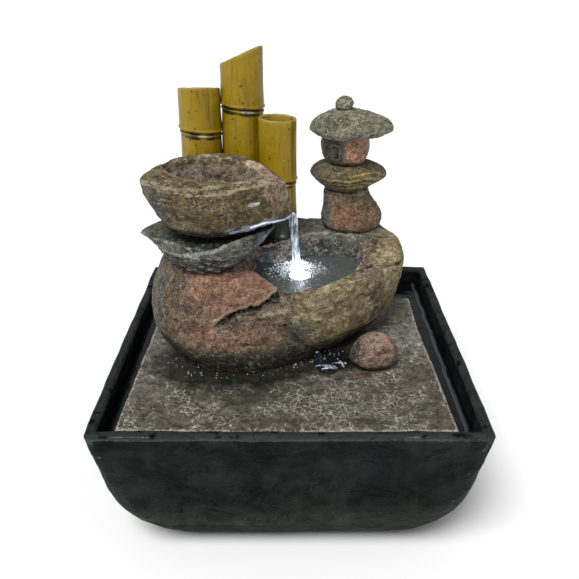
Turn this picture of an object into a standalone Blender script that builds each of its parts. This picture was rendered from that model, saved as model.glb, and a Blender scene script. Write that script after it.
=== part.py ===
"""Tabletop water fountain: a square slate-look basin with a stack of stones standing in it.

Lengths are in metres. X runs to the right, Y away from the viewer and Z up, with the
origin under the centre of the basin, on the surface that the feet stand on. Outlines of
the natural stones are written in millimetres and converted by mm().
"""

import math

import bmesh
import bpy
from mathutils import Matrix, Vector

MM = 0.001
GAP = 0.0003

# Basin
RIM_SIDE = 0.210
BASIN_TOP = 0.087
WALL = 0.006
FOOT_HEIGHT = 0.0010
FOOT_RADIUS = 0.007
FOOT_SPACING = 0.050
BASIN_BOTTOM = FOOT_HEIGHT + GAP
BASIN_FLOOR = BASIN_BOTTOM + WALL
WALL_LEAN = 0.058
SHOULDER_RADIUS = 0.0235
SHOULDER_HEIGHT = 0.041
RIM_CORNER_RADIUS = 0.003
FLOOR_CORNER_RADIUS = 0.037
EDGE_ROUND = 0.0008
SHARP_ANGLE = 35.0

# Heights at which the stones stand on one another
SLAB_TOP = 0.083
SLAB_THICKNESS = 0.009
SLAB_UNDERSIDE = SLAB_TOP - SLAB_THICKNESS
LEG_SIDE = 0.011
LEG_X = 0.052
LEG_Y = 0.050
ROCK_FOOT = SLAB_TOP + GAP
ROCK_CAVITY_TOP = 0.108
MIDDLE_SEAT = 0.140
BOWL_SEAT = 0.1555
POOL_FLOOR = 0.119
BAMBOO_SEAT = 0.139
LANTERN_SEAT = 0.138

# Water and light fittings
HOSE_AXIS = Vector((-0.045, 0.005))
HOSE_RADIUS = 0.0068
HOSE_BORE = 0.0052
HOSE_HOLE = HOSE_RADIUS + 0.0007
HOSE_BOTTOM = 0.0465
BOWL_DISH_FLOOR = 0.177
LIGHT_AXIS = Vector((0.0065, 0.0125))
LIGHT_BODY_RADIUS = 0.0052
LIGHT_FLANGE_RADIUS = 0.0066
LEAD_RADIUS = 0.0010

# Pump: the rotor turns about a line parallel to Y
PUMP_X = HOSE_AXIS.x
ROTOR_Z = 0.030
MOTOR_WIDTH = 0.036
MOTOR_HEIGHT = 0.032
VOLUTE_LENGTH = 0.012
MOTOR_FRONT = HOSE_AXIS.y + VOLUTE_LENGTH / 2.0 + GAP
MOTOR_LENGTH = 0.026
MOTOR_BOTTOM = 0.012
MOTOR_WALL = 0.0016
WELL_RADIUS = 0.0067
WELL_WALL = 0.0014
WELL_LENGTH = 0.0225
VOLUTE_RADIUS = 0.0145
VOLUTE_BORE = 0.0120
VOLUTE_FRONT = MOTOR_FRONT - GAP - VOLUTE_LENGTH
FRONT_WALL = 0.0022
OUTLET_RADIUS = HOSE_BORE - 0.0002
OUTLET_BORE = 0.0036
SHAFT_RADIUS = 0.0010
BUSH_RADIUS = 0.0022
COVER_LENGTH = 0.012


def clear_scene():
    """Remove everything that the file opened with."""
    for old_object in list(bpy.data.objects):
        bpy.data.objects.remove(old_object, do_unlink=True)
    for old_collection in list(bpy.data.collections):
        bpy.data.collections.remove(old_collection)


def new_collection(name):
    collection = bpy.data.collections.new(name)
    bpy.context.scene.collection.children.link(collection)
    return collection


clear_scene()
PARTS = new_collection("tabletop_fountain")
CUTTERS = new_collection("cutters")


def material(name, colour, roughness, metallic=0.0):
    """A plain Principled material."""
    made = bpy.data.materials.new(name)
    made.use_nodes = True
    made.diffuse_color = (*colour, 1.0)
    shader = made.node_tree.nodes["Principled BSDF"]
    shader.inputs["Base Color"].default_value = (*colour, 1.0)
    shader.inputs["Roughness"].default_value = roughness
    shader.inputs["Metallic"].default_value = metallic
    return made


BASIN_SLATE = material("basin_slate", (0.035, 0.040, 0.038), 0.75)
SLAB_STONE = material("slab_stone", (0.115, 0.110, 0.090), 0.85)
RED_STONE = material("red_stone", (0.170, 0.105, 0.075), 0.85)
DARK_STONE = material("dark_stone", (0.085, 0.085, 0.065), 0.85)
OCHRE_STONE = material("ochre_stone", (0.185, 0.140, 0.070), 0.85)
GREY_STONE = material("grey_stone", (0.130, 0.130, 0.105), 0.85)
PEBBLE_STONE = material("pebble_stone", (0.140, 0.125, 0.085), 0.85)
BAMBOO_YELLOW = material("bamboo_yellow", (0.480, 0.360, 0.060), 0.50)
BLACK_PLASTIC = material("black_plastic", (0.020, 0.020, 0.022), 0.40)
GREY_PLASTIC = material("grey_plastic", (0.120, 0.120, 0.125), 0.45)
WHITE_PLASTIC = material("white_plastic", (0.750, 0.750, 0.730), 0.35)
CLEAR_HOSE = material("hose_plastic", (0.550, 0.580, 0.560), 0.25)
BLACK_RUBBER = material("black_rubber", (0.025, 0.025, 0.025), 0.80)
LENS_PLASTIC = material("lens_plastic", (0.900, 0.940, 1.000), 0.10)
BOARD_GREEN = material("board_green", (0.030, 0.170, 0.070), 0.50)
MAGNET_GREY = material("magnet_grey", (0.090, 0.085, 0.085), 0.55)
SHAFT_CERAMIC = material("shaft_ceramic", (0.820, 0.800, 0.740), 0.25)
CORE_STEEL = material("core_steel", (0.420, 0.420, 0.430), 0.45, 0.9)
COIL_COPPER = material("coil_copper", (0.600, 0.270, 0.120), 0.35, 0.9)


def mm(points):
    """Millimetre points as vectors in metres."""
    return [Vector(point) * MM for point in points]


def at_height(points, height):
    """Flat outline in millimetres placed at a height in metres."""
    return [Vector((x * MM, y * MM, height)) for x, y in points]


def spline(before, start, end, after, share):
    """Catmull-Rom point between start and end."""
    return 0.5 * (
        2.0 * start
        + (end - before) * share
        + (2.0 * before - 5.0 * start + 4.0 * end - after) * share**2
        + (3.0 * start - before - 3.0 * end + after) * share**3
    )


def smooth_loop(points, per_span=2):
    """Closed smooth curve through the points."""
    count = len(points)
    curve = []
    for index in range(count):
        neighbours = [points[(index + step) % count] for step in (-1, 0, 1, 2)]
        curve += [spline(*neighbours, step / per_span) for step in range(per_span)]
    return curve


def smooth_path(points, per_span):
    """Open smooth curve through the points, ends included."""
    padded = [points[0], *points, points[-1]]
    curve = []
    for index in range(len(points) - 1):
        curve += [spline(*padded[index : index + 4], step / per_span) for step in range(per_span)]
    return [*curve, points[-1]]


def ellipse(centre, radii, height, count=24):
    """Horizontal ellipse, starting on its -X side like the stone outlines."""
    points = []
    for index in range(count):
        angle = math.pi + 2.0 * math.pi * index / count
        across = centre[0] + radii[0] * math.cos(angle)
        along = centre[1] + radii[1] * math.sin(angle)
        points.append(Vector((across, along, height)))
    return points


def scaled_ring(ring, centre, factor, height=None):
    """Ring shrunk or grown about a centre in plan, at a new height if one is given."""
    points = []
    for point in ring:
        flat = centre + (point.xy - centre) * factor
        points.append(Vector((flat.x, flat.y, point.z if height is None else height)))
    return points


def place(name, mesh, surface, origin=(0.0, 0.0, 0.0)):
    """Put a mesh in the scene, smooth except at edges sharper than the angle."""
    made = bpy.data.objects.new(name, mesh)
    made.location = origin
    if surface is None:
        CUTTERS.objects.link(made)
        made.hide_render = True
        made.display_type = "WIRE"
        return made
    PARTS.objects.link(made)
    mesh.materials.append(surface)
    mesh.shade_smooth()
    mesh.set_sharp_from_angle(angle=math.radians(SHARP_ANGLE))
    return made


def mesh_from(name, bm, origin=(0.0, 0.0, 0.0)):
    """Mesh data from a bmesh built in world positions, moved so that origin is its zero."""
    bmesh.ops.translate(bm, verts=bm.verts, vec=-Vector(origin))
    bmesh.ops.recalc_face_normals(bm, faces=bm.faces)
    mesh = bpy.data.meshes.new(name)
    bm.to_mesh(mesh)
    bm.free()
    return mesh


def loft(name, rings, surface, origin=(0.0, 0.0, 0.0)):
    """Solid skinned over rings of equal count, closed by a fan at each end."""
    bm = bmesh.new()
    loops = [[bm.verts.new(point) for point in ring] for ring in rings]
    for lower, upper in zip(loops, loops[1:]):
        for index, vertex in enumerate(lower):
            after = (index + 1) % len(lower)
            bm.faces.new((vertex, lower[after], upper[after], upper[index]))
    caps = [bm.faces.new(loops[0][::-1]), bm.faces.new(loops[-1])]
    bmesh.ops.poke(bm, faces=caps)
    return place(name, mesh_from(name, bm, origin), surface, origin)


def rock(name, key_rings, surface, between=2):
    """Rounded stone through a few key outlines, smooth around and up."""
    outlines = [smooth_loop(ring) for ring in key_rings]
    columns = [smooth_path(list(column), between) for column in zip(*outlines)]
    return loft(name, list(zip(*columns)), surface)


def turned(name, profile, surface, origin, axis="Z", segments=24, closed=False):
    """Turned piece from (radius, height) pairs that run down its outer side."""
    mesh = bpy.data.meshes.new(name)
    points = [(radius, 0.0, height) for radius, height in profile]
    edges = [(index, index + 1) for index in range(len(points) - 1)]
    if closed:
        edges.append((len(points) - 1, 0))
    mesh.from_pydata(points, edges, [])
    made = place(name, mesh, surface, origin)
    if axis == "Y":
        made.rotation_euler = (math.radians(90.0), 0.0, 0.0)
    screw = made.modifiers.new("turn", "SCREW")
    screw.steps = segments
    screw.render_steps = segments
    screw.use_merge_vertices = True
    screw.merge_threshold = 0.00005
    screw.use_smooth_shade = True
    return made


def box(name, size, centre, surface, origin=(0.0, 0.0, 0.0)):
    """Rectangular block."""
    bm = bmesh.new()
    bmesh.ops.create_cube(bm, size=1.0)
    bmesh.ops.scale(bm, vec=size, verts=bm.verts)
    bmesh.ops.translate(bm, vec=centre, verts=bm.verts)
    return place(name, mesh_from(name, bm, origin), surface, origin)


def cylinder(name, radius, length, centre, surface, axis="Z", segments=24, origin=(0.0, 0.0, 0.0)):
    """Straight cylinder about X, Y or Z."""
    turns = {
        "X": Matrix.Rotation(math.radians(90.0), 4, "Y"),
        "Y": Matrix.Rotation(math.radians(90.0), 4, "X"),
        "Z": Matrix.Identity(4),
    }
    bm = bmesh.new()
    bmesh.ops.create_cone(
        bm,
        cap_ends=True,
        segments=segments,
        radius1=radius,
        radius2=radius,
        depth=length,
        matrix=turns[axis],
    )
    bmesh.ops.translate(bm, vec=centre, verts=bm.verts)
    return place(name, mesh_from(name, bm, origin), surface, origin)


def combine(target, tool, operation="DIFFERENCE"):
    """Boolean of the target with a cutter, or with a solid to add."""
    boolean = target.modifiers.new(tool.name, "BOOLEAN")
    boolean.operation = operation
    boolean.solver = "EXACT"
    boolean.object = tool


def vertical_hole(target, axis, radius, bottom, top, segments=24):
    """Drill an upright round hole."""
    centre = (axis.x, axis.y, (bottom + top) / 2.0)
    combine(target, cylinder(f"{target.name}_hole", radius, top - bottom, centre, None, "Z", segments))


# ---------------------------------------------------------------- basin


def rounded_square(half, radius, height, corner_steps=6):
    """Square ring with round corners."""
    points = []
    for corner in range(4):
        start = math.pi + corner * math.pi / 2.0
        middle = start + math.pi / 4.0
        centre = Vector((math.cos(middle), math.sin(middle))) * math.sqrt(2.0) * (half - radius)
        for step in range(corner_steps + 1):
            angle = start + math.pi / 2.0 * step / corner_steps
            points.append(
                Vector((centre.x + radius * math.cos(angle), centre.y + radius * math.sin(angle), height))
            )
    return points


def basin_ring(height, inset, thickness=0.0):
    """Outline of the basin at a height, set in by the shoulder's curve and the wall thickness."""
    depth = BASIN_TOP - height
    half = RIM_SIDE / 2.0 - WALL_LEAN * depth - inset - thickness
    growth = (FLOOR_CORNER_RADIUS - RIM_CORNER_RADIUS) * depth / (BASIN_TOP - BASIN_BOTTOM)
    corner = max(RIM_CORNER_RADIUS + growth - thickness, 0.0015)
    return rounded_square(half, corner, height)


def shoulder_rings(thickness, steps=8):
    """Rings up the rounded lower edge, from the flat bottom to the straight wall."""
    shoulder_top = BASIN_BOTTOM + SHOULDER_HEIGHT
    across = SHOULDER_RADIUS - thickness
    rise = SHOULDER_HEIGHT - thickness
    rings = []
    for step in range(steps + 1):
        angle = math.pi / 2.0 * (1.0 - step / steps)
        height = shoulder_top - rise * math.sin(angle)
        rings.append(basin_ring(height, across * (1.0 - math.cos(angle)), thickness))
    return rings


def make_basin():
    """Open square dish with leaning walls and a rounded lower edge."""
    outside = shoulder_rings(0.0)
    outside.append(basin_ring(BASIN_TOP - EDGE_ROUND, 0.0))
    outside.append(basin_ring(BASIN_TOP, 0.0, EDGE_ROUND))
    inside = shoulder_rings(WALL)
    inside.append(basin_ring(BASIN_TOP - EDGE_ROUND, 0.0, WALL))
    inside.append(basin_ring(BASIN_TOP, 0.0, WALL - EDGE_ROUND))
    loft("basin", outside + inside[::-1], BASIN_SLATE)


def make_feet():
    """Four round rubber pads under the basin."""
    for across, side in ((-1, "left"), (1, "right")):
        for along, end in ((-1, "front"), (1, "back")):
            centre = (across * FOOT_SPACING, along * FOOT_SPACING, FOOT_HEIGHT / 2.0)
            cylinder(f"foot_{end}_{side}", FOOT_RADIUS, FOOT_HEIGHT, centre, BLACK_RUBBER, "Z", 20)


# ---------------------------------------------------------------- stones

SLAB_OUTLINE = (
    (-89.5, 59),
    (-89, 20),
    (-90.5, -40),
    (-91.4, -95),
    (-30, -97),
    (30, -96),
    (88.4, -96),
    (87, -40),
    (85, 15),
    (86, 58),
    (60, 61),
    (0, 60),
    (-55, 61),
)


def make_slab():
    """Flat stone that covers the basin, on four legs that stand on the basin's floor."""
    middle = SLAB_UNDERSIDE + SLAB_THICKNESS / 2.0
    rings = [
        scaled_ring(at_height(SLAB_OUTLINE, SLAB_UNDERSIDE), Vector((0.0, -0.018)), 0.985),
        at_height(SLAB_OUTLINE, middle),
        scaled_ring(at_height(SLAB_OUTLINE, SLAB_TOP), Vector((0.0, -0.018)), 0.99),
    ]
    slab = loft("base_slab", rings, SLAB_STONE)
    leg_bottom = BASIN_FLOOR + GAP
    leg_height = middle - leg_bottom
    for across in (-1, 1):
        for along in (-1, 1):
            centre = (across * LEG_X, along * LEG_Y, leg_bottom + leg_height / 2.0)
            combine(slab, box("slab_leg", (LEG_SIDE, LEG_SIDE, leg_height), centre, None), "UNION")
    vertical_hole(slab, HOSE_AXIS, HOSE_HOLE, SLAB_UNDERSIDE - 0.005, SLAB_TOP + 0.005)
    vertical_hole(slab, LIGHT_AXIS, 0.004, SLAB_UNDERSIDE - 0.005, SLAB_TOP + 0.005, 16)


LOWER_FOOT = (
    (-82, 12),
    (-74, -9),
    (-63, -25),
    (-49, -37),
    (-33, -40),
    (-18, -38.5),
    (-4, -33),
    (8, -27),
    (24, -14),
    (38, 2),
    (48, 18),
    (50, 36),
    (30, 50),
    (-5, 56),
    (-45, 56),
    (-74, 40),
)
LOWER_BELLY = (
    (-88, 14),
    (-82, -10),
    (-70, -27),
    (-52, -38),
    (-34, -40),
    (-18, -38),
    (-3, -34.5),
    (12, -31),
    (32, -20),
    (50, -4),
    (66, 18),
    (66, 42),
    (44, 60),
    (-5, 66),
    (-50, 64),
    (-80, 44),
)
LOWER_RIDGE = (
    (-87, 15, 116),
    (-81, -8, 116),
    (-69, -23, 116),
    (-52, -33, 116),
    (-34, -35, 116),
    (-17, -31, 114),
    (-2, -31, 115),
    (14, -29, 118),
    (32, -18, 120.5),
    (50, -5, 122.5),
    (67, 12, 124.5),
    (75, 34, 126),
    (62, 60, 127),
    (0, 70, 126),
    (-50, 69, 122),
    (-82, 45, 118),
)
LOWER_TOP_EDGE = (
    (-79, 15, 131),
    (-73, -5, 132),
    (-62, -18, 135),
    (-48, -27, 137),
    (-33, -28, 135),
    (-20, -27, 131),
    (-8, -24.5, 128.5),
    (8, -25, 128.5),
    (24, -19, 128.8),
    (38, -8, 129.5),
    (57, 8, 131.5),
    (69, 30, 135.5),
    (60, 58, 140),
    (5, 68, 140),
    (-50, 67, 140),
    (-76, 43, 136),
)
LOWER_TOP = (
    (-68, 14, 141),
    (-62, 0, 141),
    (-54, -10, 141),
    (-44, -17, 141),
    (-34, -17, 140),
    (-27, -10, 137),
    (-19, -4, 133),
    (0, -5, 131),
    (15, -4, 131),
    (28, 2, 132),
    (46, 14, 134),
    (54, 32, 138.5),
    (44, 50, 141),
    (0, 52, 141),
    (-45, 52, 141),
    (-65, 36, 141),
)
POOL_RIM = (
    (-25, 7, 130.5),
    (-23, -3, 129),
    (-16, -13, 128),
    (-6, -20.5, 128),
    (7, -22, 128),
    (21, -17, 128.3),
    (34, -7, 129),
    (43, 6, 130),
    (46.5, 19, 132),
    (44, 30, 134.5),
    (35, 36.5, 136.5),
    (21, 38, 137),
    (8, 33.5, 137),
    (-2, 28, 136.5),
    (-12, 22.5, 134.5),
    (-21, 16, 132),
)
LANTERN_FOOT = Vector((0.041, 0.053))
LANTERN_FOOT_RADII = (0.0165, 0.0125)
BAMBOO_LEFT = Vector((-0.0556, 0.050))
BAMBOO_CENTRE = Vector((-0.0293, 0.053))
BAMBOO_RIGHT = Vector((-0.0074, 0.040))
BAMBOO_LEFT_RADIUS = 0.0126
BAMBOO_CENTRE_RADIUS = 0.0128
BAMBOO_RIGHT_RADIUS = 0.0114


def pool_cutter():
    """Shape of the lower pool, from its flat floor out to the rim and straight up from there."""
    rim = smooth_loop(mm(POOL_RIM))
    centre = Vector((0.010, 0.011))
    lower_wall = scaled_ring(rim, centre, 0.90, POOL_FLOOR + 0.003)
    rings = [
        scaled_ring(rim, centre, 0.75, POOL_FLOOR),
        scaled_ring(rim, centre, 0.85, POOL_FLOOR + 0.0018),
        [low.lerp(high, 0.5) for low, high in zip(lower_wall, rim)],
        rim,
        scaled_ring(rim, centre, 1.02, 0.146),
    ]
    return loft("pool_space", rings, None)


def make_lower_rock():
    """Large boulder with the lower pool on its right and flat seats for what stands on it."""
    top = mm(LOWER_TOP)
    crown = scaled_ring(top, Vector((-0.015, 0.022)), 0.45)
    key_rings = [
        at_height(LOWER_FOOT, ROCK_FOOT),
        at_height(LOWER_BELLY, 0.098),
        mm(LOWER_RIDGE),
        mm(LOWER_TOP_EDGE),
        top,
        crown,
    ]
    body = rock("lower_rock", key_rings, RED_STONE)
    combine(body, pool_cutter())
    cavity_centre = Vector((-0.012, 0.010))
    cavity_rings = [
        scaled_ring(smooth_loop(at_height(LOWER_FOOT, 0.080)), cavity_centre, 0.80),
        scaled_ring(smooth_loop(at_height(LOWER_FOOT, 0.095)), cavity_centre, 0.80),
        scaled_ring(smooth_loop(at_height(LOWER_FOOT, ROCK_CAVITY_TOP)), cavity_centre, 0.66),
    ]
    combine(body, loft("lower_rock_cavity", cavity_rings, None))
    combine(body, loft("middle_rock_seat", middle_rock_seat(MIDDLE_SEAT), None))
    combine(body, loft("lantern_seat", lantern_seat(), None))
    stalks = (
        (BAMBOO_LEFT, BAMBOO_LEFT_RADIUS),
        (BAMBOO_CENTRE, BAMBOO_CENTRE_RADIUS),
        (BAMBOO_RIGHT, BAMBOO_RIGHT_RADIUS),
    )
    for axis, radius in stalks:
        vertical_hole(body, axis, radius + GAP, BAMBOO_SEAT - GAP, 0.150)
    vertical_hole(body, HOSE_AXIS, HOSE_HOLE, ROCK_CAVITY_TOP - 0.005, 0.150)
    vertical_hole(body, LIGHT_AXIS, LIGHT_BODY_RADIUS + GAP, ROCK_CAVITY_TOP - 0.005, POOL_FLOOR + 0.005)


def middle_rock_seat(height):
    """Flat-bottomed space for the middle rock's foot."""
    centre = Vector((-0.048, 0.004))
    foot = ellipse(centre, (0.0235, 0.0215), height)
    side = scaled_ring(foot, centre, 1.5, height + 0.0003)
    mouth = scaled_ring(foot, centre, 1.6, height + 0.012)
    return [foot, side, mouth]


def lantern_seat():
    """Flat-bottomed space for the lantern's lowest stone."""
    floor = ellipse(LANTERN_FOOT, [radius + 2.0 * GAP for radius in LANTERN_FOOT_RADII], LANTERN_SEAT)
    return [floor, scaled_ring(floor, LANTERN_FOOT, 1.35, LANTERN_SEAT + 0.012)]


MIDDLE_LOWER_EDGE = (
    (-82, 8, 148),
    (-76, -6, 146),
    (-67, -17, 143.5),
    (-57, -24, 142),
    (-49, -27, 141.5),
    (-40, -26, 142.5),
    (-31, -22, 146),
    (-23, -15.5, 150),
    (-15, -4, 152),
    (-12, 8, 153),
    (-14, 20, 152),
    (-24, 29, 150),
    (-40, 33, 147),
    (-56, 33, 146),
    (-70, 28, 146),
    (-80, 19, 147),
)
MIDDLE_RIDGE = (
    (-90, 6, 153),
    (-80, -6, 154),
    (-68, -17, 155.5),
    (-59, -23, 155),
    (-52, -27, 153.5),
    (-44, -27, 154.3),
    (-35, -22, 158),
    (-23, -12, 158.5),
    (-14, -2, 157.5),
    (-9, 8, 157),
    (-11, 20, 157),
    (-22, 30, 156),
    (-40, 35, 155),
    (-58, 35, 154.5),
    (-76, 29, 154),
    (-88, 18, 153.5),
)


def make_middle_rock():
    """Wedge-shaped stone with a dished top that carries the upper bowl."""
    ridge = mm(MIDDLE_RIDGE)
    dish = ellipse(Vector((-0.047, 0.004)), (0.029, 0.020), BOWL_SEAT, 16)
    key_rings = [
        ellipse(Vector((-0.048, 0.004)), (0.0225, 0.0205), MIDDLE_SEAT + 2.0 * GAP, 16),
        mm(MIDDLE_LOWER_EDGE),
        ridge,
        [edge.lerp(low, 0.35) for edge, low in zip(ridge, dish)],
    ]
    outlines = [smooth_loop(ring) for ring in key_rings]
    columns = [smooth_path(list(column), 2) for column in zip(*outlines)]
    for point in (point for column in columns for point in column):
        point.z = max(point.z, MIDDLE_SEAT + 2.0 * GAP)
    stone = loft("middle_rock", [*zip(*columns), smooth_loop(dish)], DARK_STONE)
    vertical_hole(stone, HOSE_AXIS, HOSE_HOLE, MIDDLE_SEAT - 0.005, BOWL_SEAT + 0.005)


BOWL_UNDERSIDE = (
    (-76, 6, 164.5),
    (-73, -5, 164.5),
    (-66, -14, 163),
    (-56, -19, 161.5),
    (-46, -20, 161),
    (-35, -19, 161.5),
    (-25, -16, 163),
    (-15, -9, 164),
    (-7, 0, 163),
    (-5, 11, 162.5),
    (-9, 19, 163),
    (-20, 26, 161),
    (-37, 30, 159.5),
    (-52, 30, 159.5),
    (-64, 25, 161),
    (-71, 16, 162.5),
)
BOWL_BULGE = (
    (-81, 4, 172),
    (-77, -8, 172),
    (-69, -17, 171),
    (-59, -23, 170),
    (-47, -25, 168.5),
    (-36, -24, 169),
    (-25, -21, 169.5),
    (-13, -15, 168.5),
    (-3, -3, 166.5),
    (1, 10, 165),
    (-4, 20, 167),
    (-17, 27, 170),
    (-36, 33, 171),
    (-54, 33, 171),
    (-68, 28, 172),
    (-78, 18, 172),
)
BOWL_RIDGE = (
    (-86, 4, 189),
    (-83.5, -9, 189.5),
    (-75, -20, 190),
    (-62, -28, 189.5),
    (-48, -30, 188.5),
    (-37, -29.5, 189),
    (-26, -26.5, 191),
    (-12, -18, 191),
    (-5, -3, 186),
    (-2, 9, 183),
    (-4, 19, 183),
    (-14, 28, 188),
    (-34, 34.5, 193),
    (-54, 34.5, 193),
    (-71, 31, 191.5),
    (-82, 19, 189.5),
)
BOWL_OPENING = (
    (-74, 14, 191),
    (-71, 8, 191),
    (-66, 3, 191),
    (-57, -4, 191),
    (-47, -9.5, 191),
    (-37, -12.5, 191),
    (-27, -11.5, 191),
    (-16, -9, 190),
    (-12, -1, 187),
    (-12, 7, 185),
    (-14, 14, 186),
    (-22, 20, 190),
    (-33, 23, 193),
    (-48, 23.5, 193.5),
    (-61, 21.5, 193),
    (-70, 19, 192),
)


def make_upper_bowl():
    """Boulder with a dished top; its right end drops to the spout that feeds the pool."""
    opening = mm(BOWL_OPENING)
    dish_centre = Vector((-0.043, 0.006))
    key_rings = [
        ellipse(Vector((-0.045, 0.006)), (0.021, 0.013), BOWL_SEAT + GAP, 16),
        mm(BOWL_UNDERSIDE),
        mm(BOWL_BULGE),
        mm(BOWL_RIDGE),
        opening,
        scaled_ring(opening, dish_centre, 0.86, BOWL_DISH_FLOOR + 0.005),
        scaled_ring(opening, dish_centre, 0.70, BOWL_DISH_FLOOR),
    ]
    bowl = rock("upper_bowl", key_rings, OCHRE_STONE)
    vertical_hole(bowl, HOSE_AXIS, HOSE_HOLE, BOWL_SEAT - 0.005, BOWL_DISH_FLOOR + 0.010)


def stone(name, sections, surface, count=20):
    """Rounded stone from (height, centre x, centre y, radius x, radius y) in millimetres."""
    rings = []
    for height, x, y, radius_x, radius_y in sections:
        rings.append(ellipse(Vector((x, y)) * MM, (radius_x * MM, radius_y * MM), height * MM, count))
    columns = [smooth_path(list(column), 2) for column in zip(*rings)]
    return loft(name, list(zip(*columns)), surface)


def make_lantern():
    """Five stones stacked as a garden lantern behind the pool's right side."""
    foot_x, foot_y = LANTERN_FOOT / MM
    base = (
        (138.3, foot_x, foot_y, 16.0, 12.0),
        (143.0, 41.0, 52, 19.5, 14.5),
        (149.0, 41.0, 52, 20.3, 15.0),
        (156.0, 40.0, 52, 18.0, 14.0),
        (163.0, 37.5, 52, 15.5, 13.0),
        (167.0, 37.0, 52, 14.5, 12.5),
    )
    disc = (
        (167.3, 37.0, 52, 13.0, 12.0),
        (171.0, 37.0, 52, 18.0, 16.0),
        (176.0, 38.0, 52, 24.5, 20.0),
        (179.5, 38.0, 52, 24.5, 20.0),
        (182.5, 36.5, 52, 20.5, 17.0),
        (184.0, 35.5, 52, 15.0, 13.5),
    )
    chamber = (
        (184.3, 35.5, 52, 11.5, 11.0),
        (188.0, 35.5, 52, 14.0, 13.5),
        (193.0, 35.5, 52, 15.5, 14.5),
        (198.0, 35.5, 52, 15.5, 14.5),
        (202.0, 35.5, 52, 14.5, 13.5),
    )
    roof = (
        (202.3, 37.5, 52, 21.0, 18.0),
        (204.5, 39.0, 52, 26.0, 21.0),
        (207.5, 39.0, 52, 26.5, 21.5),
        (211.5, 38.0, 52, 22.5, 19.0),
        (215.0, 36.5, 52, 15.5, 14.0),
        (217.5, 35.0, 52, 7.5, 7.5),
    )
    finial = (
        (217.8, 34.5, 52, 4.2, 4.2),
        (219.5, 34.0, 52, 5.6, 5.6),
        (222.5, 34.0, 52, 5.8, 5.8),
        (225.5, 33.8, 52, 4.2, 4.2),
        (227.0, 33.6, 52, 1.6, 1.6),
    )
    stone("lantern_base_stone", base, RED_STONE)
    stone("lantern_disc", disc, GREY_STONE)
    room = stone("lantern_chamber", chamber, RED_STONE)
    window_foot = Vector((28.0, 40.5, 192.0)) * MM
    window_half = 0.0026
    window_depth = 0.0075
    window_size = (2.0 * window_half, window_depth, 0.0060)
    combine(room, box("window_opening", window_size, window_foot, None))
    arch = window_foot + Vector((0.0, 0.0, 0.0030))
    combine(room, cylinder("window_arch", window_half, window_depth, arch, None, "Y", 16))
    stone("lantern_roof", roof, GREY_STONE)
    stone("lantern_finial", finial, GREY_STONE, 14)


def make_pebble():
    """Loose-looking round stone glued to the slab in front of the pool."""
    sections = (
        (SLAB_TOP / MM + 0.3, 50, -30, 10.0, 9.0),
        (87.0, 50, -30, 13.5, 11.5),
        (92.0, 50.5, -30, 13.8, 12.0),
        (97.0, 51, -30, 12.0, 10.5),
        (101.0, 51, -30, 8.5, 7.5),
        (103.0, 51, -30, 3.5, 3.0),
    )
    stone("front_pebble", sections, PEBBLE_STONE)


# ---------------------------------------------------------------- bamboo


def make_stalk(name, axis, radius, top, node, slope, bore_depth):
    """Cut bamboo stalk with a raised double band at its node and a bore in its sloping top."""
    swell = 0.0007
    band = 0.0018
    wall = 0.0026
    blank_top = top + radius * (abs(slope[0]) + abs(slope[1])) + 0.001
    profile = [
        (0.0, top - bore_depth),
        (radius - wall, top - bore_depth),
        (radius - wall, blank_top),
        (radius, blank_top),
        (radius, node + band),
        (radius + swell, node + 0.4 * band),
        (radius - swell, node),
        (radius + swell, node - 0.4 * band),
        (radius - 0.4 * swell, node - band),
        (radius - 0.4 * swell, BAMBOO_SEAT),
        (0.0, BAMBOO_SEAT),
    ]
    stalk = turned(name, profile, BAMBOO_YELLOW, (axis.x, axis.y, 0.0))
    waste = box(f"{name}_waste", (0.080, 0.080, 0.040), (0.0, 0.0, 0.020), None)
    waste.location = (axis.x, axis.y, top)
    upright = Vector((0.0, 0.0, 1.0))
    normal = Vector((-slope[0], -slope[1], 1.0))
    waste.rotation_euler = upright.rotation_difference(normal).to_euler()
    combine(stalk, waste)


def make_bamboos():
    """Three stalks behind the upper bowl; the middle one is cut on a slant."""
    make_stalk("bamboo_left", BAMBOO_LEFT, BAMBOO_LEFT_RADIUS, 0.2310, 0.2050, (0.0, -0.16), 0.010)
    make_stalk("bamboo_centre", BAMBOO_CENTRE, BAMBOO_CENTRE_RADIUS, 0.2500, 0.2190, (0.39, -0.13), 0.014)
    make_stalk("bamboo_right", BAMBOO_RIGHT, BAMBOO_RIGHT_RADIUS, 0.2150, 0.1770, (-0.05, 0.0), 0.015)


# ---------------------------------------------------------------- pump


def pump_point(y):
    """Point on the rotor's axis."""
    return Vector((PUMP_X, y, ROTOR_Z))


def make_motor_housing():
    """Square shell, open at the back, with a closed round well that holds the rotor."""
    middle = MOTOR_FRONT + MOTOR_LENGTH / 2.0
    height = MOTOR_BOTTOM + MOTOR_HEIGHT / 2.0
    size = (MOTOR_WIDTH, MOTOR_LENGTH, MOTOR_HEIGHT)
    housing = box("pump_motor_housing", size, (PUMP_X, middle, height), BLACK_PLASTIC)
    inner = (
        MOTOR_WIDTH - 2.0 * MOTOR_WALL,
        MOTOR_LENGTH,
        MOTOR_HEIGHT - 2.0 * MOTOR_WALL,
    )
    combine(housing, box("motor_space", inner, (PUMP_X, middle + MOTOR_WALL, height), None))
    well_middle = MOTOR_FRONT + (WELL_LENGTH + WELL_WALL) / 2.0
    well = cylinder(
        "rotor_well", WELL_RADIUS + WELL_WALL, WELL_LENGTH + WELL_WALL, pump_point(well_middle), None, "Y"
    )
    combine(housing, well, "UNION")
    bore_middle = MOTOR_FRONT + WELL_LENGTH / 2.0 - 0.001
    bore = cylinder("rotor_bore", WELL_RADIUS, WELL_LENGTH + 0.002, pump_point(bore_middle), None, "Y")
    combine(housing, bore)


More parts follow.
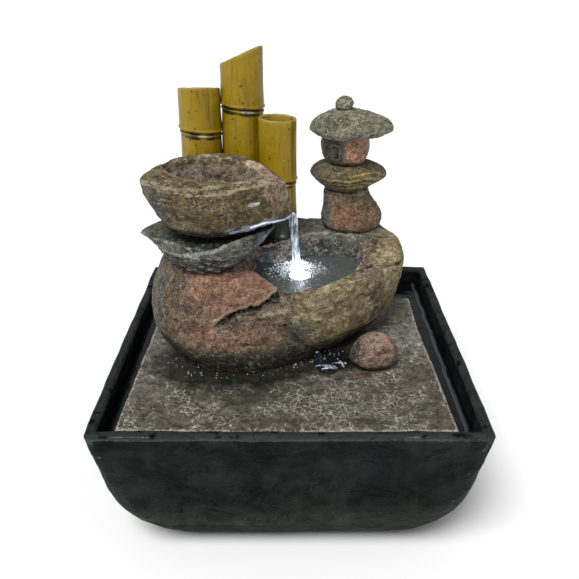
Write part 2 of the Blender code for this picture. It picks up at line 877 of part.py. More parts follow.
def make_motor_inside():
    """Laminated core on both sides of the well, its coil below, and the potted back plate."""
    core_start = MOTOR_FRONT + MOTOR_WALL + 0.003
    core_depth = 0.014
    middle = core_start + core_depth / 2.0
    leg_width = 0.005
    leg_x = WELL_RADIUS + WELL_WALL + 0.0005 + leg_width / 2.0
    leg_bottom = MOTOR_BOTTOM + MOTOR_WALL + 0.0012
    leg_top = ROTOR_Z + 0.008
    core = box(
        "motor_core",
        (leg_width, core_depth, leg_top - leg_bottom),
        (PUMP_X - leg_x, middle, (leg_top + leg_bottom) / 2.0),
        CORE_STEEL,
    )
    right_leg = box(
        "core_leg",
        (leg_width, core_depth, leg_top - leg_bottom),
        (PUMP_X + leg_x, middle, (leg_top + leg_bottom) / 2.0),
        None,
    )
    bridge_z = leg_bottom + 0.0024
    bridge = box("core_bridge", (2.0 * leg_x, core_depth, 0.0026), (PUMP_X, middle, bridge_z), None)
    combine(core, right_leg, "UNION")
    combine(core, bridge, "UNION")
    coil_size = (0.0150, core_depth + 0.005, 0.0064)
    coil = box("motor_coil", coil_size, (PUMP_X, middle, bridge_z), COIL_COPPER)
    space_size = (0.020, core_depth + 0.0006, 0.0032)
    combine(coil, box("coil_space", space_size, (PUMP_X, middle, bridge_z), None))
    plate_front = MOTOR_FRONT + MOTOR_LENGTH - 0.0018
    plate = (MOTOR_WIDTH - 2.0 * (MOTOR_WALL + GAP), 0.0018, MOTOR_HEIGHT - 2.0 * (MOTOR_WALL + GAP))
    centre = (PUMP_X, plate_front + 0.0009, MOTOR_BOTTOM + MOTOR_HEIGHT / 2.0)
    box("motor_back_plate", plate, centre, GREY_PLASTIC)


def make_volute():
    """Round chamber in front of the motor, with inlet holes and the upright outlet pipe."""
    middle = VOLUTE_FRONT + VOLUTE_LENGTH / 2.0
    centre = pump_point(middle)
    volute = cylinder("pump_volute", VOLUTE_RADIUS, VOLUTE_LENGTH, centre, BLACK_PLASTIC, "Y", 24)
    pipe_top = HOSE_BOTTOM + 0.010
    pipe_bottom = ROTOR_Z + VOLUTE_BORE - 0.0005
    pipe_middle = (HOSE_AXIS.x, HOSE_AXIS.y, (pipe_top + pipe_bottom) / 2.0)
    pipe = cylinder("outlet_pipe", OUTLET_RADIUS, pipe_top - pipe_bottom, pipe_middle, None)
    combine(volute, pipe, "UNION")
    bore_depth = VOLUTE_LENGTH - FRONT_WALL
    bore_middle = VOLUTE_FRONT + FRONT_WALL + bore_depth / 2.0 + 0.001
    bore = cylinder("volute_bore", VOLUTE_BORE, bore_depth + 0.002, pump_point(bore_middle), None, "Y")
    combine(volute, bore)
    outlet_middle = (HOSE_AXIS.x, HOSE_AXIS.y, (ROTOR_Z + pipe_top + 0.004) / 2.0)
    combine(volute, cylinder("outlet_bore", OUTLET_BORE, pipe_top + 0.004 - ROTOR_Z, outlet_middle, None))
    for index in range(6):
        angle = math.tau * index / 6.0
        hole = pump_point(VOLUTE_FRONT) + Vector((math.cos(angle), 0.0, math.sin(angle))) * 0.0062
        combine(volute, cylinder("inlet_hole", 0.0019, 0.008, hole, None, "Y", 8))
    seat = pump_point(VOLUTE_FRONT + FRONT_WALL)
    combine(volute, cylinder("front_bush_seat", BUSH_RADIUS + GAP, 0.0030, seat, None, "Y", 16))


def along_rotor(start, end):
    """Length and middle point of a piece on the rotor's axis."""
    return end - start, pump_point((start + end) / 2.0)


def make_rotor():
    """Magnet rotor with the bladed impeller on its front, turning on a fixed ceramic shaft."""
    hole = SHAFT_RADIUS + 0.00008
    magnet_start = MOTOR_FRONT + 0.0006
    magnet_end = MOTOR_FRONT + WELL_LENGTH - 0.0033
    length, middle = along_rotor(magnet_start, magnet_end)
    magnet = cylinder("pump_rotor", 0.0060, length, middle, MAGNET_GREY, "Y", 24, middle)
    combine(magnet, cylinder("rotor_hole", hole, length + 0.002, middle, None, "Y", 12))

    wheel_start = VOLUTE_FRONT + FRONT_WALL + 0.0020
    wheel_end = magnet_start - GAP
    length, middle = along_rotor(wheel_start, wheel_end)
    wheel = cylinder("pump_impeller", 0.0034, length, middle, WHITE_PLASTIC, "Y", 20, middle)
    for index in range(3):
        angle = math.pi * index / 3.0
        blade = box("blade", (0.0210, length - 0.0008, 0.0010), (0.0, 0.0, 0.0), None)
        blade.location = middle
        blade.rotation_euler = (0.0, angle, 0.0)
        combine(wheel, blade, "UNION")
    combine(wheel, cylinder("wheel_hole", hole, length + 0.002, middle, None, "Y", 12))

    rear_end = MOTOR_FRONT + WELL_LENGTH - GAP
    front_end = VOLUTE_FRONT + FRONT_WALL - 0.0015 + GAP
    length, middle = along_rotor(front_end + 0.0004, rear_end - 0.0004)
    cylinder("pump_shaft", SHAFT_RADIUS, length, middle, SHAFT_CERAMIC, "Y", 12)
    for name, radius, start, end in (
        ("pump_bush_front", BUSH_RADIUS, front_end, front_end + 0.0022),
        ("pump_bush_rear", WELL_RADIUS - GAP, rear_end - 0.0024, rear_end),
    ):
        length, middle = along_rotor(start, end)
        bush = cylinder(name, radius, length, middle, GREY_PLASTIC, "Y", 20)
        hole = cylinder("bush_hole", SHAFT_RADIUS + 0.00015, length + 0.002, middle, None, "Y", 12)
        combine(bush, hole)


def make_intake():
    """Slotted cover over the inlet, with a dial on its front that sets the flow."""
    end = VOLUTE_FRONT - GAP
    length, middle = along_rotor(end - COVER_LENGTH, end)
    cover = box("intake_cover", (0.034, length, 0.030), middle, BLACK_PLASTIC, middle)
    inner = middle + Vector((0.0, 0.0016, 0.0))
    combine(cover, box("cover_space", (0.0308, length, 0.0268), inner, None))
    for index in range(5):
        x = PUMP_X + (index - 2) * 0.0056
        for side in (-1, 1):
            slot = (x, middle.y + 0.001, ROTOR_Z + side * 0.0145)
            combine(cover, box("cover_slot", (0.0026, length * 0.5, 0.004), slot, None))
    front = end - COVER_LENGTH
    hole_middle = pump_point(front)
    combine(cover, cylinder("dial_hole", 0.0022, 0.006, hole_middle, None, "Y", 16))
    for side in (-1, 1):
        window = (PUMP_X + side * 0.0045, front, ROTOR_Z)
        combine(cover, box("flow_window", (0.0026, 0.006, 0.007), window, None))

    dial_middle = pump_point(front - GAP - 0.0011)
    dial = cylinder("flow_dial", 0.0090, 0.0022, dial_middle, GREY_PLASTIC, "Y", 24, hole_middle)
    stem = cylinder("dial_stem", 0.0019, 0.0040, pump_point(front + 0.0008), None, "Y", 16)
    grip = box("dial_grip", (0.0140, 0.0022, 0.0024), pump_point(front - GAP - 0.0030), None)
    combine(dial, stem, "UNION")
    combine(dial, grip, "UNION")
    slot_centre = pump_point(front - GAP) + Vector((0.0, 0.0, 0.0056))
    combine(dial, box("dial_window", (0.0060, 0.008, 0.0024), slot_centre, None))


def make_suction_cups():
    """Four soft cups that hold the pump to the basin's floor."""
    cup_bottom = BASIN_FLOOR + GAP
    cup_height = MOTOR_BOTTOM - GAP - cup_bottom
    profile = [
        (0.0, cup_height),
        (0.0028, cup_height),
        (0.0028, 0.55 * cup_height),
        (0.0058, 0.15 * cup_height),
        (0.0060, 0.0),
        (0.0050, 0.0),
        (0.0022, 0.38 * cup_height),
        (0.0, 0.38 * cup_height),
    ]
    number = 1
    for x in (-0.011, 0.011):
        for y in (0.006, 0.020):
            origin = (PUMP_X + x, MOTOR_FRONT + y, cup_bottom)
            turned(f"suction_cup_{number}", profile, BLACK_RUBBER, origin, segments=16)
            number += 1


def make_hose():
    """Straight riser from the pump's outlet to the nozzle in the upper bowl."""
    hose_top = BOWL_DISH_FLOOR - 0.0025
    profile = [
        (HOSE_RADIUS, hose_top),
        (HOSE_RADIUS, HOSE_BOTTOM),
        (HOSE_BORE, HOSE_BOTTOM),
        (HOSE_BORE, hose_top),
    ]
    turned("riser_hose", profile, CLEAR_HOSE, (HOSE_AXIS.x, HOSE_AXIS.y, 0.0), closed=True)
    rim = BOWL_DISH_FLOOR + GAP
    nozzle = [
        (0.0076, rim + 0.0008),
        (0.0082, rim),
        (HOSE_BORE - 0.0002, rim),
        (HOSE_BORE - 0.0002, hose_top - 0.010),
        (0.0036, hose_top - 0.010),
        (0.0036, rim + 0.0030),
        (0.0050, rim + 0.0030),
    ]
    turned("hose_nozzle", nozzle, BLACK_PLASTIC, (HOSE_AXIS.x, HOSE_AXIS.y, 0.0), closed=True)


# ---------------------------------------------------------------- light


def make_light():
    """Round light in the pool's floor: body, seal, lens, board and the ring that clamps it."""
    origin = (LIGHT_AXIS.x, LIGHT_AXIS.y, 0.0)
    seal_bottom = POOL_FLOOR + GAP
    seal_top = seal_bottom + 0.0010
    flange_bottom = seal_top + GAP
    flange_top = flange_bottom + 0.0012
    body_bottom = 0.1045
    room_bottom = body_bottom + 0.0080
    room_radius = LIGHT_BODY_RADIUS - 0.0014
    body = [
        (0.0, room_bottom),
        (room_radius, room_bottom),
        (room_radius, flange_top),
        (LIGHT_FLANGE_RADIUS, flange_top),
        (LIGHT_FLANGE_RADIUS, flange_bottom),
        (LIGHT_BODY_RADIUS, flange_bottom),
        (LIGHT_BODY_RADIUS, body_bottom),
        (0.0, body_bottom),
    ]
    turned("light_body", body, BLACK_PLASTIC, origin)
    seal = [
        (LIGHT_FLANGE_RADIUS, seal_top),
        (LIGHT_FLANGE_RADIUS, seal_bottom),
        (LIGHT_BODY_RADIUS + GAP, seal_bottom),
        (LIGHT_BODY_RADIUS + GAP, seal_top),
    ]
    turned("light_seal", seal, BLACK_RUBBER, origin, closed=True)
    board_bottom = room_bottom + GAP
    board_top = board_bottom + 0.0012
    board = [
        (0.0, board_top + 0.0010),
        (0.0018, board_top + 0.0010),
        (0.0018, board_top),
        (room_radius - GAP, board_top),
        (room_radius - GAP, board_bottom),
        (0.0, board_bottom),
    ]
    turned("light_board", board, BOARD_GREEN, origin, segments=20)
    lens_bottom = board_top + 0.0016
    dome_base = flange_top + GAP
    dome = [
        (LIGHT_FLANGE_RADIUS * math.cos(angle), dome_base + 0.0014 * math.sin(angle))
        for angle in (1.1, 0.6, 0.0)
    ]
    lens = [
        (0.0, flange_top + GAP + 0.0014),
        *dome,
        (room_radius - GAP, flange_top + GAP),
        (room_radius - GAP, lens_bottom),
        (0.0, lens_bottom),
    ]
    turned("light_lens", lens, LENS_PLASTIC, origin)
    clamp_top = ROCK_CAVITY_TOP - GAP
    clamp = [
        (LIGHT_FLANGE_RADIUS + 0.0015, clamp_top),
        (LIGHT_FLANGE_RADIUS + 0.0015, clamp_top - 0.0026),
        (LIGHT_BODY_RADIUS + GAP, clamp_top - 0.0026),
        (LIGHT_BODY_RADIUS + GAP, clamp_top),
    ]
    turned("light_clamp_ring", clamp, GREY_PLASTIC, origin, segments=16, closed=True)
    make_light_lead(body_bottom - GAP)


def make_light_lead(start_height):
    """Low-voltage lead from the light, down through the slab, to the pump's side."""
    gland_face = PUMP_X + MOTOR_WIDTH / 2.0 + GAP
    gland_y = MOTOR_FRONT + 0.018
    gland_length = 0.004
    cylinder(
        "light_lead_gland",
        0.0026,
        gland_length,
        (gland_face + gland_length / 2.0, gland_y, ROTOR_Z),
        BLACK_PLASTIC,
        "X",
        16,
    )
    end_x = gland_face + gland_length + GAP
    route = [
        Vector((LIGHT_AXIS.x, LIGHT_AXIS.y, start_height)),
        Vector((LIGHT_AXIS.x, LIGHT_AXIS.y, 0.090)),
        Vector((LIGHT_AXIS.x, LIGHT_AXIS.y, 0.066)),
        Vector((LIGHT_AXIS.x - 0.003, LIGHT_AXIS.y + 0.006, 0.044)),
        Vector((LIGHT_AXIS.x - 0.014, gland_y - 0.001, ROTOR_Z + 0.001)),
        Vector((end_x + 0.005, gland_y, ROTOR_Z)),
        Vector((end_x, gland_y, ROTOR_Z)),
    ]
    points = smooth_path(route, 4)
    wire = bpy.data.curves.new("light_lead", "CURVE")
    wire.dimensions = "3D"
    wire.bevel_depth = LEAD_RADIUS
    wire.bevel_resolution = 2
    wire.use_fill_caps = True
    line = wire.splines.new("POLY")
    line.points.add(len(points) - 1)
    for slot, point in zip(line.points, points):
        slot.co = (*point, 1.0)
    wire.materials.append(BLACK_PLASTIC)
    PARTS.objects.link(bpy.data.objects.new("light_lead", wire))


def make_cord_gland():
    """Socket on the pump's upper back corner where its supply cord enters."""
    back = MOTOR_FRONT + MOTOR_LENGTH
    length = 0.005
    across = PUMP_X + 0.011
    centre = (across, back + GAP + length / 2.0, ROTOR_Z + 0.006)
    gland = cylinder("cord_gland", 0.0040, length, centre, BLACK_PLASTIC, "Y", 20)
    mouth = (across, back + GAP + length, ROTOR_Z + 0.006)
    combine(gland, cylinder("cord_gland_mouth", 0.0023, 0.006, mouth, None, "Y", 16))


make_basin()
make_feet()
make_slab()
make_lower_rock()
make_middle_rock()
make_upper_bowl()
make_lantern()
make_pebble()
make_bamboos()
make_motor_housing()
make_motor_inside()
make_volute()
make_rotor()
make_intake()
make_suction_cups()
make_hose()
make_light()
make_cord_gland()
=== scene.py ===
"""Tabletop water fountain: the visual model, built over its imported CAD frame.

Lengths are in metres in the CAD model's own frame: X to the right, Y away from the viewer
and Z up. Each stone starts as its CAD solid, is remeshed finely, and is then carved in code.
Places on a stone are given as shares of its CAD box, from the low corner to the high one.
Noises take the size of their features, and carving takes depths, both in metres.
"""

import math
from functools import partial

import bmesh
import bpy
import numpy as np
from mathutils import Euler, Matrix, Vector, noise
from mathutils.bvhtree import BVHTree


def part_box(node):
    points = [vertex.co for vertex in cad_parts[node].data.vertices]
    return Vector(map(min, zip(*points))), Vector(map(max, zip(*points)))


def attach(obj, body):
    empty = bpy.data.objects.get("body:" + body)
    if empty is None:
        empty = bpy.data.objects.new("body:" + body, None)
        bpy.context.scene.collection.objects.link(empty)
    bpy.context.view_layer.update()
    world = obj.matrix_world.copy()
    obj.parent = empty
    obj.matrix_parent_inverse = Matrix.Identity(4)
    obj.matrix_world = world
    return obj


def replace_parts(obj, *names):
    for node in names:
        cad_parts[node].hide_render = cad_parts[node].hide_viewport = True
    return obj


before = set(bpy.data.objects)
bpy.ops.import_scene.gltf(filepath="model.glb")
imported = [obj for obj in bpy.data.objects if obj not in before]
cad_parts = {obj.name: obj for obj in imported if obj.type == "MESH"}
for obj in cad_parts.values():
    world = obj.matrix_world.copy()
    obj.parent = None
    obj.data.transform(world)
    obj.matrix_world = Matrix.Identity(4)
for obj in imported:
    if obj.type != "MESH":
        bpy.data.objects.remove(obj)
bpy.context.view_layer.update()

# Patches on the stones have their radii in millimetres.
MM = 0.001
SLAB_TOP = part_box("base_slab")[1].z


def middle_of(node):
    """Centre of a CAD node's box."""
    low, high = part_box(node)
    return (low + high) / 2.0


def share_of(node, x, y, z):
    """Point at these shares of a CAD node's box."""
    low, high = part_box(node)
    return Vector([start + (end - start) * share for start, end, share in zip(low, high, (x, y, z))])


def line_on(node, shares):
    """Line of points at shares of a CAD node's box."""
    return [share_of(node, *share) for share in shares]


def turns(count):
    """Angles of the given number of even steps round a circle."""
    return [2.0 * math.pi * step / count for step in range(count)]


def flat_oval(angle, width, depth):
    """Point at an angle on a level oval, from its middle."""
    return Vector((width * math.cos(angle), depth * math.sin(angle), 0.0))


def wobble(place, octaves):
    """Smooth noise of about -1 to 1 at one place."""
    return noise.fractal(place, 1.0, 2.0, octaves)


def shade(colour, factor):
    """Plain colour made darker or lighter by a factor."""
    return [min(1.0, factor * part) for part in colour]


LIGHT = middle_of("light_lens")
LIGHT_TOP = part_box("light_lens")[1].z
POOL_DEPTH = 0.0032
POOL_LEVEL = LIGHT_TOP + POOL_DEPTH
SPOUT = share_of("upper_bowl", 0.985, 0.62, 0.22)
LANDING = Vector((LIGHT.x - 0.002, LIGHT.y - 0.001, POOL_LEVEL))


# ---------------------------------------------------------------- paint


class Paint:
    """A Principled material whose colour, roughness and bump come from procedural nodes."""

    def __init__(self, name, **settings):
        self.material = bpy.data.materials.new(name)
        self.material.use_nodes = True
        self.tree = self.material.node_tree
        self.shader = self.tree.nodes["Principled BSDF"]
        self.place = self.tree.nodes.new("ShaderNodeTexCoord").outputs["Object"]
        self.colour = None
        self.normal = None
        for key, value in settings.items():
            socket = key.replace("_", " ").title().replace("Ior", "IOR")
            self.shader.inputs[socket].default_value = value

    def node(self, kind, values, **settings):
        """New node with its sockets linked or set, by name or number."""
        made = self.tree.nodes.new(kind)
        for key, value in settings.items():
            setattr(made, key, value)
        for key, value in values.items():
            if isinstance(value, bpy.types.NodeSocket):
                self.tree.links.new(value, made.inputs[key])
            else:
                made.inputs[key].default_value = value
        return made

    def noise(self, size, detail=4.0, rough=0.6, stretch=None, twist=0.0, turn=(0.0, 0.0, 0.0)):
        """Noise from 0 to 1 whose features have about the given size in metres."""
        place = self.place
        if stretch:
            values = {"Vector": place, "Scale": [1.0 / share for share in stretch], "Rotation": turn}
            place = self.node("ShaderNodeMapping", values).outputs[0]
        values = {"Vector": place, "Scale": 1.0 / size, "Detail": detail, "Roughness": rough}
        return self.node("ShaderNodeTexNoise", {**values, "Distortion": twist}).outputs[0]

    def cells(self, size, feature="F1", twist=0.0):
        """Distance within cells of about the given size in metres."""
        place = self.place
        if twist:
            values = {"Vector": place, "Scale": 0.7 / size, "Detail": 3.0}
            wander = self.node("ShaderNodeTexNoise", values).outputs[1]
            shift = self.vector("MULTIPLY", wander, [twist * size] * 3)
            place = self.vector("ADD", place, shift)
        values = {"Vector": place, "Scale": 1.0 / size}
        return self.node("ShaderNodeTexVoronoi", values, feature=feature).outputs[0]

    def cell_edges(self, size, twist, outer, inner):
        """Net of thin lines between cells: 1 on a line, 0 further from it than the outer distance."""
        return self.span(self.cells(size, "DISTANCE_TO_EDGE", twist), outer, inner)

    def folds(self, *size, **settings):
        """Noise that is 0 along winding lines and grows away from them."""
        return self.math("ABSOLUTE", self.centred(self.noise(*size, **settings)))

    def attribute(self, name):
        """Value stored on the mesh."""
        return self.node("ShaderNodeAttribute", {}, attribute_name=name).outputs["Fac"]

    def span(self, value, low, high, to_low=0.0, to_high=1.0):
        """Value moved smoothly from the range low..high to another range."""
        values = {0: value, 1: low, 2: high, 3: to_low, 4: to_high}
        return self.node("ShaderNodeMapRange", values, interpolation_type="SMOOTHSTEP").outputs[0]

    def math(self, operation, first, second=0.0, clamp=False):
        """Two values put together, and kept between 0 and 1 if clamped."""
        values = {0: first, 1: second}
        return self.node("ShaderNodeMath", values, operation=operation, use_clamp=clamp).outputs[0]

    def vector(self, operation, first, second):
        """Two vectors put together."""
        return self.node("ShaderNodeVectorMath", {0: first, 1: second}, operation=operation).outputs[0]

    def add(self, first, second):
        return self.math("ADD", first, second)

    def times(self, first, second):
        return self.math("MULTIPLY", first, second)

    def centred(self, value):
        """Noise moved to lie about zero."""
        return self.math("SUBTRACT", value, 0.5)

    def ragged(self, value, noise, depth):
        """Value broken up by a noise of the given depth."""
        return self.add(value, self.times(self.centred(noise), depth))

    def mix(self, share, first, second):
        """Colour between two others."""
        values = {0: share}
        for number, value in ((6, first), (7, second)):
            values[number] = value if isinstance(value, bpy.types.NodeSocket) else (*value, 1.0)
        return self.node("ShaderNodeMix", values, data_type="RGBA").outputs[2]

    def coat(self, share, tint):
        """Cover a share of the colour so far with a tint."""
        self.colour = self.mix(share, self.colour, tint)

    def tone(self, value, low, high, darkest, lightest):
        """Make the colour so far darker where a value is low and lighter where it is high."""
        values = {0: self.colour, "Scale": self.span(value, low, high, darkest, lightest)}
        self.colour = self.node("ShaderNodeVectorMath", values, operation="SCALE").outputs[0]

    def bump(self, height, depth):
        """Add a bump of the given depth in metres, over the ones already there."""
        values = {"Height": height, "Distance": depth}
        if self.normal is not None:
            values["Normal"] = self.normal
        self.normal = self.node("ShaderNodeBump", values).outputs[0]

    def drive(self, socket, value):
        """Link a value to one of the shader's sockets."""
        self.tree.links.new(value, self.shader.inputs[socket])

    def finish(self, roughness=None):
        """Link what was built to the shader."""
        values = {"Base Color": self.colour, "Roughness": roughness, "Normal": self.normal}
        for socket, value in values.items():
            if value is not None:
                self.drive(socket, value)
        return self.material


def stone_paint(name, colours, zones=(), brushing=0.75):
    """Hand-painted cast stone: mottled colour, dark washes in hollows and scratchy pale brushing.

    The colours are the main one, the one of the patches, the dark washes and the pale brushing.
    A zone is the name of a value stored on the mesh, with the colour that it brings.
    """
    main, second, dark, pale = colours
    paint = Paint(name, specular_ior_level=0.3)
    wet = paint.attribute("wet")
    mottle = paint.noise(0.0038, 5.0, 0.68)
    grain = paint.noise(0.001, 4.0, 0.7)
    lines = paint.noise(0.0013, 4.0, 0.62, stretch=(2.6, 2.6, 0.75), twist=1.2)
    crease = paint.folds(0.0044, 5.0, 0.6, stretch=(1.5, 1.5, 0.8), twist=1.0)
    stains = paint.noise(0.0085, 5.0, 0.62, stretch=(1.5, 1.5, 0.8), twist=1.0)
    paint.colour = paint.mix(paint.span(paint.noise(0.014, 3.0), 0.42, 0.58), main, second)
    for zone, tint in zones:
        share = paint.ragged(paint.attribute(zone), mottle, 0.9)
        paint.coat(paint.span(share, 0.25, 0.75), tint)
    paint.tone(mottle, 0.32, 0.68, 0.7, 1.36)
    paint.tone(grain, 0.34, 0.66, 0.55, 1.6)
    paint.tone(stains, 0.36, 0.6, 0.62, 1.18)
    low = paint.ragged(paint.attribute("hollow"), mottle, 4.0)
    paint.coat(paint.span(low, -0.2, -2.4, 0.0, 0.93), shade(dark, 0.22))
    dents = paint.times(paint.span(crease, 0.022, 0.002), paint.span(mottle, 0.56, 0.44))
    paint.coat(paint.times(dents, 0.8), shade(dark, 0.3))
    scratches = paint.times(paint.span(lines, 0.545, 0.64), paint.span(mottle, 0.38, 0.56))
    broken = paint.span(paint.ragged(paint.attribute("edge"), lines, 7.0), 1.5, 3.0)
    net = paint.cell_edges(0.004, 2.2, 0.055, 0.016)
    threads = paint.times(net, paint.span(paint.noise(0.011, 5.0, 0.7), 0.5, 0.6))
    brushed = paint.add(paint.add(scratches, paint.times(broken, 1.3)), threads)
    paint.coat(paint.math("MULTIPLY", brushed, brushing, clamp=True), pale)
    paint.coat(wet, paint.mix(0.72, paint.colour, shade(dark, 0.05)))
    dry_rough = paint.span(grain, 0.3, 0.7, 0.58, 0.82)
    paint.bump(mottle, 0.003)
    paint.bump(paint.span(crease, 0.0, 0.03), 0.0005)
    paint.bump(lines, 0.003)
    paint.bump(threads, 0.0006)
    paint.bump(grain, 0.0014)
    return paint.finish(paint.math("SUBTRACT", dry_rough, paint.times(wet, 0.5), clamp=True))


def basin_paint():
    """Matt black resin cast to look like cleft slate, rubbed grey on its edges."""
    paint = Paint("basin_slate", specular_ior_level=0.04)
    rim = paint.attribute("rim")
    clefts = paint.noise(0.016, 7.0, 0.58, stretch=(1.3, 1.0, 1.0), twist=1.2, turn=(0.0, -0.7, 0.0))
    cracks = paint.folds(0.024, 6.0, 0.6, stretch=(1.6, 1.0, 0.8), twist=0.6, turn=(0.0, -0.8, 0.0))
    cloud = paint.noise(0.035, 4.0, 0.6)
    grain = paint.noise(0.0013, 5.0, 0.7)
    paint.colour = paint.mix(
        paint.span(cloud, 0.35, 0.65), (0.0072, 0.0108, 0.0102), (0.015, 0.019, 0.017)
    )
    # Painted reflection of the pale floor: the lower outside is lightened, broken up by the grain.
    floor_reflection = paint.times(paint.attribute("low_part"), paint.span(grain, 0.3, 0.7, 0.4, 1.0))
    paint.coat(floor_reflection, (0.05, 0.053, 0.036))
    paint.tone(clefts, 0.3, 0.7, 0.55, 1.6)
    paint.tone(grain, 0.3, 0.7, 0.7, 1.35)
    paint.coat(paint.times(rim, 0.9), (0.033, 0.039, 0.038))
    paint.coat(paint.span(paint.attribute("hollow"), -0.8, -3.0, 0.0, 0.6), (0.002, 0.003, 0.003))
    scratch = paint.times(paint.span(cracks, 0.008, 0.001), paint.span(cloud, 0.48, 0.6))
    paint.coat(paint.times(scratch, 0.75), (0.075, 0.082, 0.072))
    outer = paint.span(paint.attribute("reach"), -0.75, -0.35)
    corner = paint.times(outer, paint.span(paint.attribute("rise"), -1.1, -0.6))
    rubbed = paint.times(corner, paint.span(paint.noise(0.01, 5.0, 0.6), 0.4, 0.52, 0.15, 1.0))
    paint.coat(paint.times(rubbed, paint.span(grain, 0.32, 0.52)), (0.33, 0.35, 0.34))
    worn = paint.span(paint.ragged(paint.attribute("edge"), grain, 4.0), 2.2, 3.2, 0.0, 0.7)
    paint.coat(paint.times(worn, paint.span(rim, 0.0, 1.0, 1.0, 0.12)), (0.1, 0.115, 0.11))
    paint.coat(paint.attribute("chips"), (0.003, 0.004, 0.004))
    paint.bump(clefts, 0.008)
    paint.bump(paint.span(cracks, 0.0, 0.012), 0.0016)
    paint.bump(grain, 0.0009)
    return paint.finish(paint.span(grain, 0.3, 0.7, 0.42, 0.62))


def slab_paint():
    """Crinkled grey-brown slab with pale dry brushing caught on its crests."""
    paint = Paint("slab_stone", specular_ior_level=0.25)
    wet = paint.attribute("wet")
    cloud = paint.noise(0.028, 3.0)
    mottle = paint.noise(0.006, 6.0, 0.65, twist=0.6)
    grain = paint.noise(0.0012, 5.0, 0.7)
    paint.colour = paint.mix(paint.span(cloud, 0.4, 0.6), (0.128, 0.116, 0.084), (0.142, 0.116, 0.086))
    paint.coat(paint.attribute("green"), (0.07, 0.078, 0.048))
    paint.coat(paint.attribute("grey"), (0.205, 0.192, 0.16))
    paint.tone(mottle, 0.32, 0.68, 0.45, 1.45)
    paint.tone(grain, 0.32, 0.68, 0.55, 1.45)
    paint.coat(paint.span(paint.attribute("hollow"), -0.4, -2.4, 0.0, 0.9), (0.012, 0.012, 0.009))
    net = paint.cell_edges(0.0046, 1.8, 0.062, 0.022)
    crests = paint.folds(0.0052, 5.0, 0.6, stretch=(1.15, 1.0, 1.0), twist=1.6)
    fine = paint.times(paint.span(crests, 0.034, 0.006), 0.7)
    patches = paint.add(paint.noise(0.015, 4.0, 0.7), paint.times(paint.attribute("worn"), 0.12))
    line = paint.times(paint.math("MAXIMUM", fine, net), paint.span(patches, 0.47, 0.58))
    high = paint.span(paint.ragged(paint.attribute("edge"), grain, 6.0), 1.2, 3.0, 0.0, 0.7)
    brushed = paint.math("ADD", high, paint.times(line, 0.95), clamp=True)
    dry = paint.times(brushed, paint.span(wet, 0.0, 1.0, 1.0, 0.15))
    paint.coat(paint.times(dry, paint.span(grain, 0.32, 0.55)), (0.74, 0.71, 0.6))
    paint.coat(wet, paint.mix(0.78, paint.colour, (0.004, 0.006, 0.003)))
    # Near-black painted shadow where the mesh marks it.
    paint.coat(paint.attribute("black"), (0.003, 0.003, 0.003))
    dry_rough = paint.span(grain, 0.3, 0.7, 0.5, 0.75)
    paint.bump(mottle, 0.006)
    paint.bump(line, 0.0014)
    paint.bump(grain, 0.001)
    return paint.finish(paint.math("SUBTRACT", dry_rough, paint.times(wet, 0.5), clamp=True))


def bamboo_paint():
    """Glossy mustard bamboo with upright streaks, dark specks and dark rings."""
    paint = Paint("bamboo_yellow", coat_weight=0.05, coat_roughness=0.1, specular_ior_level=0.22)
    streaks = paint.noise(0.0022, 4.0, 0.6, stretch=(1.0, 1.0, 14.0))
    seams = paint.noise(0.0042, 2.0, 0.4, stretch=(1.0, 1.0, 40.0), twist=0.2)
    cloud = paint.noise(0.01, 3.0, 0.6)
    grain = paint.noise(0.0009, 4.0, 0.7, stretch=(1.0, 1.0, 2.5))
    specks = paint.span(paint.cells(0.004, twist=0.6), 0.22, 0.1)
    speckled = paint.span(paint.noise(0.008, 2.0), 0.42, 0.56)
    ring = paint.ragged(paint.attribute("ring"), grain, 0.5)
    facing = paint.node("ShaderNodeLayerWeight", {"Blend": 0.35}).outputs["Facing"]
    paint.colour = paint.mix(
        paint.span(cloud, 0.35, 0.65), (0.27, 0.176, 0.0035), (0.32, 0.214, 0.006)
    )
    coats = (
        (paint.span(streaks, 0.5, 0.3, 0.0, 0.55), (0.13, 0.075, 0.004)),
        (paint.span(streaks, 0.58, 0.8, 0.0, 0.45), (0.34, 0.25, 0.03)),
        (paint.span(grain, 0.45, 0.25, 0.0, 0.35), (0.09, 0.05, 0.003)),
        (paint.times(specks, speckled), (0.06, 0.022, 0.004)),
        (paint.attribute("cut"), (0.33, 0.25, 0.045)),
        (paint.span(ring, 0.1, 0.75, 0.0, 0.97), (0.022, 0.013, 0.006)),
        (paint.times(paint.attribute("shine"), paint.span(grain, 0.38, 0.55)), (0.72, 0.7, 0.62)),
        (paint.times(paint.span(seams, 0.36, 0.3), 0.6), (0.11, 0.062, 0.004)),
        # Painted shade darkening each stalk towards its outline.
        (paint.span(facing, 0.45, 0.95, 0.0, 0.75), (0.07, 0.038, 0.003)),
        # Painted shade on the front of each stalk's lowest part, where it stands in the dark behind the
        # stones.
        (paint.attribute("foot"), (0.012, 0.012, 0.006)),
    )
    for share, tint in coats:
        paint.coat(share, tint)
    paint.bump(streaks, 0.0006)
    paint.bump(grain, 0.0002)
    return paint.finish(paint.span(cloud, 0.3, 0.7, 0.26, 0.4))


def plastic_paint(name, colour, roughness=0.42):
    """Moulded plastic with a faint grain and scuffs."""
    paint = Paint(name)
    scuffs = paint.noise(0.006, 5.0, 0.7, stretch=(1.0, 4.0, 1.0))
    worn = [min(1.0, part * 1.5 + 0.012) for part in colour]
    paint.colour = paint.mix(paint.span(scuffs, 0.52, 0.75, 0.0, 0.5), colour, worn)
    paint.bump(paint.noise(0.0006, 3.0, 0.6), 0.00008)
    return paint.finish(paint.span(scuffs, 0.3, 0.7, roughness - 0.08, roughness + 0.12))


